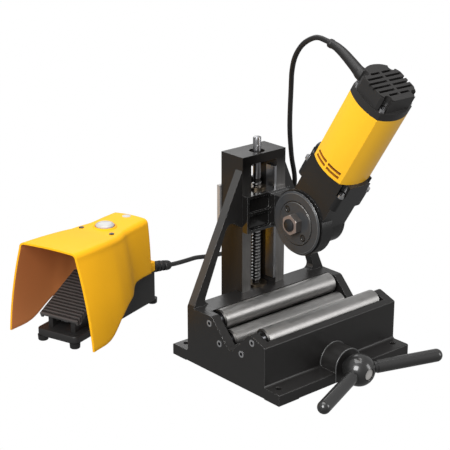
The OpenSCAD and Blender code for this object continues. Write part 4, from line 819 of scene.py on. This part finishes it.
buttonPlace = (124, 0, 0)
button = turned("button_dome", [(0, 155.8), (6, 155.5), (10.4, 154.6), (10.9, 154.9), (13.2, 153.8),
                                (14.6, 152.4), (14.8, 150.6), (14.3, 150.2), (4.9, 150.2), (4.9, 113.5),
                                (0, 113.5)], buttonPlace)
finishPiece(button, "button_dome", "palePlastic", bodyOf["stop_button"], slotOf("stop_button"),
            ["stop_button"])
ring = turned("button_ring", [(15.4, 147.6), (15.4, 150.2), (16.2, 150.8), (17.6, 150.4), (20.0, 147.6)],
              buttonPlace)
finishPiece(ring, "button_ring", "yellowHood", "frame", slotOf("foot_hood"))
plug = turned("hood_plug", [(0, 150.4), (5.4, 150.2), (6.9, 149.6), (7, 148.6), (7, 147), (0, 147)],
              (181.5, 0, 0), 32)
finishPiece(plug, "hood_plug", "palePlastic", "frame", slotOf("stop_button"))
lip = footBlock("hood_lip", (184, -37.5, 57), (205.6, 37.5, 73), True, 3.0)
finishPiece(lip, "hood_lip", "yellowHood", "frame", slotOf("foot_hood"))
lipScrew = turned("lip_screw", [(0, 73.5), (1.2, 73.5), (1.3, 74.2), (3.6, 74.0), (4.0, 73.5), (4.0, 71),
                                (0, 71)], (197, -29, 0), 24)
finishPiece(lipScrew, "lip_screw", "darkScrew", "frame", slotOf("hood_screws"))
plate = footBlock("front_plate", (-7, -37.5, 8.2), (113, 37.5, 19.8), False, 8.0)
finishPiece(plate, "front_plate", "blackPlastic", "frame", slotOf("foot_base"))
padPlaces = [(0, -30, 0), (0, 30, 0), (205, -30, 0), (205, 30, 0)]
firstPad = turned("foot_pad", [(0, 0), (6.9, 0), (7.8, 0.9), (8.3, 8.6), (0, 8.6)], padPlaces[0], 32)
for index, place in enumerate(padPlaces):
    pad = firstPad
    if index:
        pad = copyOf(firstPad)
        pad.matrix_world = Matrix.Translation(footPoint(*place) - footPoint(*padPlaces[0]))
        settle(pad)
    finishPiece(pad, "foot_pad_%d" % (index + 1), "softRubber", "frame", slotOf("foot_feet"), ["foot_feet"])
print("stage: foot switch details made")


# ---------------------------------------------------------------- strain reliefs
def motorPoint(x, w, s):
    """A point of the motor's own frame, in millimetres, in the row frame."""
    c, n = math.cos(motor["lean"]), math.sin(motor["lean"])
    return motor["place"] + Vector((x, w * c - s * n, w * n + s * c)) / 1000


boots = {
    # radii in millimetres; a collar has its start and end as shares of the length, and its height
    "motor_relief": {
        "path": [motorPoint(*p) for p in [(-13.5, 31.1, 249.7), (-13.5, 39.4, 249.7), (-13.5, 44.8, 250),
                                          (-13.5, 55.7, 250.7), (-13.5, 76.1, 251.2), (-13.5, 91.1, 249.7),
                                          (-13.5, 104, 245.7)]],
        "radii": (9, 9, 8.0, 7.5, 6.8, 6.0, 5.5), "body": "head", "node": "motor_boot",
        "collar": (0.93, 0.995, 0.7)},
    # the rings' places and half length are shares of the length too; between them lie grooves
    "foot_relief": {
        "path": [footPoint(*p) for p in [(206, -18, 55), (209.8, -18, 55), (215.6, -18, 54), (225.2, -18, 52),
                                         (238, -18, 49.4), (250.2, -18, 46.5), (270, -18, 41)]],
        "radii": (9.4, 9.4, 9.2, 9.1, 9.0, 8.8, 7.6), "body": "frame", "node": "foot_boot",
        "collar": (0.93, 0.97, 0.3),
        "rings": {"places": (0.2, 0.34, 0.48, 0.62, 0.76), "half": 0.05, "depth": 2.2, "steep": 1.6,
                  "from": 0.14, "to": 0.87}},
}
bootSteps = 20


def grooveAt(rings, share):
    """How deep the groove beside a strain relief's rings is, in millimetres, at a share of its length."""
    if not rings["from"] < share < rings["to"]:
        return 0.0
    rise = sum(max(0.0, 1 - ((share - place) / rings["half"]) ** 2) for place in rings["places"])
    return rings["depth"] * (1 - min(1.0, rise * rings["steep"]))


for bootName, boot in boots.items():
    path = smoothPath(boot["path"], bootSteps)
    low, high, thick = boot["collar"]
    radii = []
    for k in range(len(path)):
        index = min(k // bootSteps, len(boot["radii"]) - 2)
        a, b = boot["radii"][index:index + 2]
        radius = a + (b - a) * (k / bootSteps - index)
        share = k / (len(path) - 1)
        if "rings" in boot:
            radius -= grooveAt(boot["rings"], share)
        radii.append((radius + (thick if low < share < high else 0.0)) / 1000)
    tube = pathTube(bootName, path, radii, 28)
    finishPiece(tube, bootName, "softRubber", boot["body"], slotOf(boot["node"]), [boot["node"]])
print("stage: strain reliefs made")


# ---------------------------------------------------------------- shaft boss edges, worn and lighter still as a painted highlight
boss = {"x": 4.0, "z": 21.4, "foot": 1.6, "steps": 40,
        # y, distance from the shaft and radius of each edge line
        "rims": {"boss_rim": (-116.4, 24.5, 1.15), "boss_root": (-87.2, 25.9, 1.0)}}
for rimName, (y, reach, thick) in boss["rims"].items():
    line = [Vector((boss["x"] - reach, y, boss["foot"])) / 1000]
    for k in range(boss["steps"] + 1):
        a = math.pi * (1 - k / boss["steps"])
        line.append(Vector((boss["x"] + reach * math.cos(a), y, boss["z"] + reach * math.sin(a))) / 1000)
    line.append(Vector((boss["x"] + reach, y, boss["foot"])) / 1000)
    rim = pathTube(rimName, line, [thick / 1000] * len(line), 12)
    finishPiece(rim, rimName, "bossWornHighlightEdge", "frame", slotOf("base_casting"))
print("stage: boss edges made")


# ---------------------------------------------------------------- lead screw with its thread
screw = {"x": 0.004, "y": 0.079, "foot": 0.0301, "threadFoot": 0.0901, "threadTop": 0.253, "top": 0.3154,
         "core": 0.0054, "outer": 0.007, "journal": 0.006, "pitch": 0.005, "hole": 0.002, "holeDown": 0.012,
         "holeLength": 0.03, "holeTurn": 45,
         # the thread's ridge: half its height at the foot and at the crest, how far it reaches into the core,
         # and its start above the thread's foot
         "ridgeFoot": 0.0019, "ridgeTop": 0.0009, "sink": 0.0003, "ridgeStart": 0.0025, "ridgeSteps": 28}


def cylinder(name, radius, low, high):
    """An upright cylinder on the screw's axis."""
    deselect()
    bpy.ops.mesh.primitive_cylinder_add(vertices=48, radius=radius, depth=high - low,
                                        location=(screw["x"], screw["y"], (low + high) / 2))
    made = bpy.context.view_layer.objects.active
    made.name = name
    settle(made)
    return made


axis = (screw["x"], screw["y"])
parts = [
    cylinder("screw_journal", screw["journal"], screw["foot"], screw["threadFoot"]),
    cylinder("screw_core", screw["core"], screw["threadFoot"], screw["threadTop"]),
    cylinder("screw_top", screw["journal"], screw["threadTop"], screw["top"]),
]
bevelled(parts[2], 0.0006, 40)
deselect()
bpy.ops.mesh.primitive_cylinder_add(vertices=24, radius=screw["hole"], depth=screw["holeLength"],
                                    location=(*axis, screw["top"] - screw["holeDown"]),
                                    rotation=(0, math.radians(90), math.radians(screw["holeTurn"])))
drill = bpy.context.view_layer.objects.active
apply(parts[2], "BOOLEAN", {"operation": "DIFFERENCE", "object": drill, "solver": "EXACT"})
bpy.data.objects.remove(drill)
deselect()
bpy.ops.mesh.primitive_plane_add(size=1.0)
ridge = bpy.context.view_layer.objects.active
inner = screw["core"] - screw["sink"]
profile = [(inner, -screw["ridgeFoot"]), (screw["outer"], -screw["ridgeTop"]),
           (screw["outer"], screw["ridgeTop"]), (inner, screw["ridgeFoot"])]
for index, (out, up) in zip(list(ridge.data.polygons[0].vertices), profile):
    ridge.data.vertices[index].co = (out, 0, up)
activate(ridge)
bpy.ops.object.mode_set(mode="EDIT")
bpy.ops.mesh.select_all(action="SELECT")
bpy.ops.mesh.delete(type="ONLY_FACE")
bpy.ops.object.mode_set(mode="OBJECT")
turns = int((screw["threadTop"] - screw["threadFoot"]) / screw["pitch"]) - 1
apply(ridge, "SCREW", {"axis": "Z", "angle": math.tau, "screw_offset": screw["pitch"], "iterations": turns,
                       "steps": screw["ridgeSteps"], "render_steps": screw["ridgeSteps"],
                       "use_normal_calculate": True})
ridge.location = (*axis, screw["threadFoot"] + screw["ridgeStart"])
settle(ridge)
activate(ridge)
bpy.ops.object.mode_set(mode="EDIT")
bpy.ops.mesh.select_all(action="DESELECT")
bpy.ops.mesh.select_non_manifold()
bpy.ops.mesh.edge_face_add()
bpy.ops.object.mode_set(mode="OBJECT")
outward(ridge)
for part, finish in zip(parts + [ridge], ("turnedSteel", "blackBar", "turnedSteel", "screwRidge")):
    paint(part, finish)
deselect()
for part in parts + [ridge]:
    part.select_set(True)
bpy.context.view_layer.objects.active = parts[0]
bpy.ops.object.join()
threaded = bpy.context.view_layer.objects.active
smoothShade(threaded, 35)
finishPiece(threaded, "threaded_screw", None, "screw", slotOf("lead_screw"), ["lead_screw"])
print("stage: lead screw threaded")
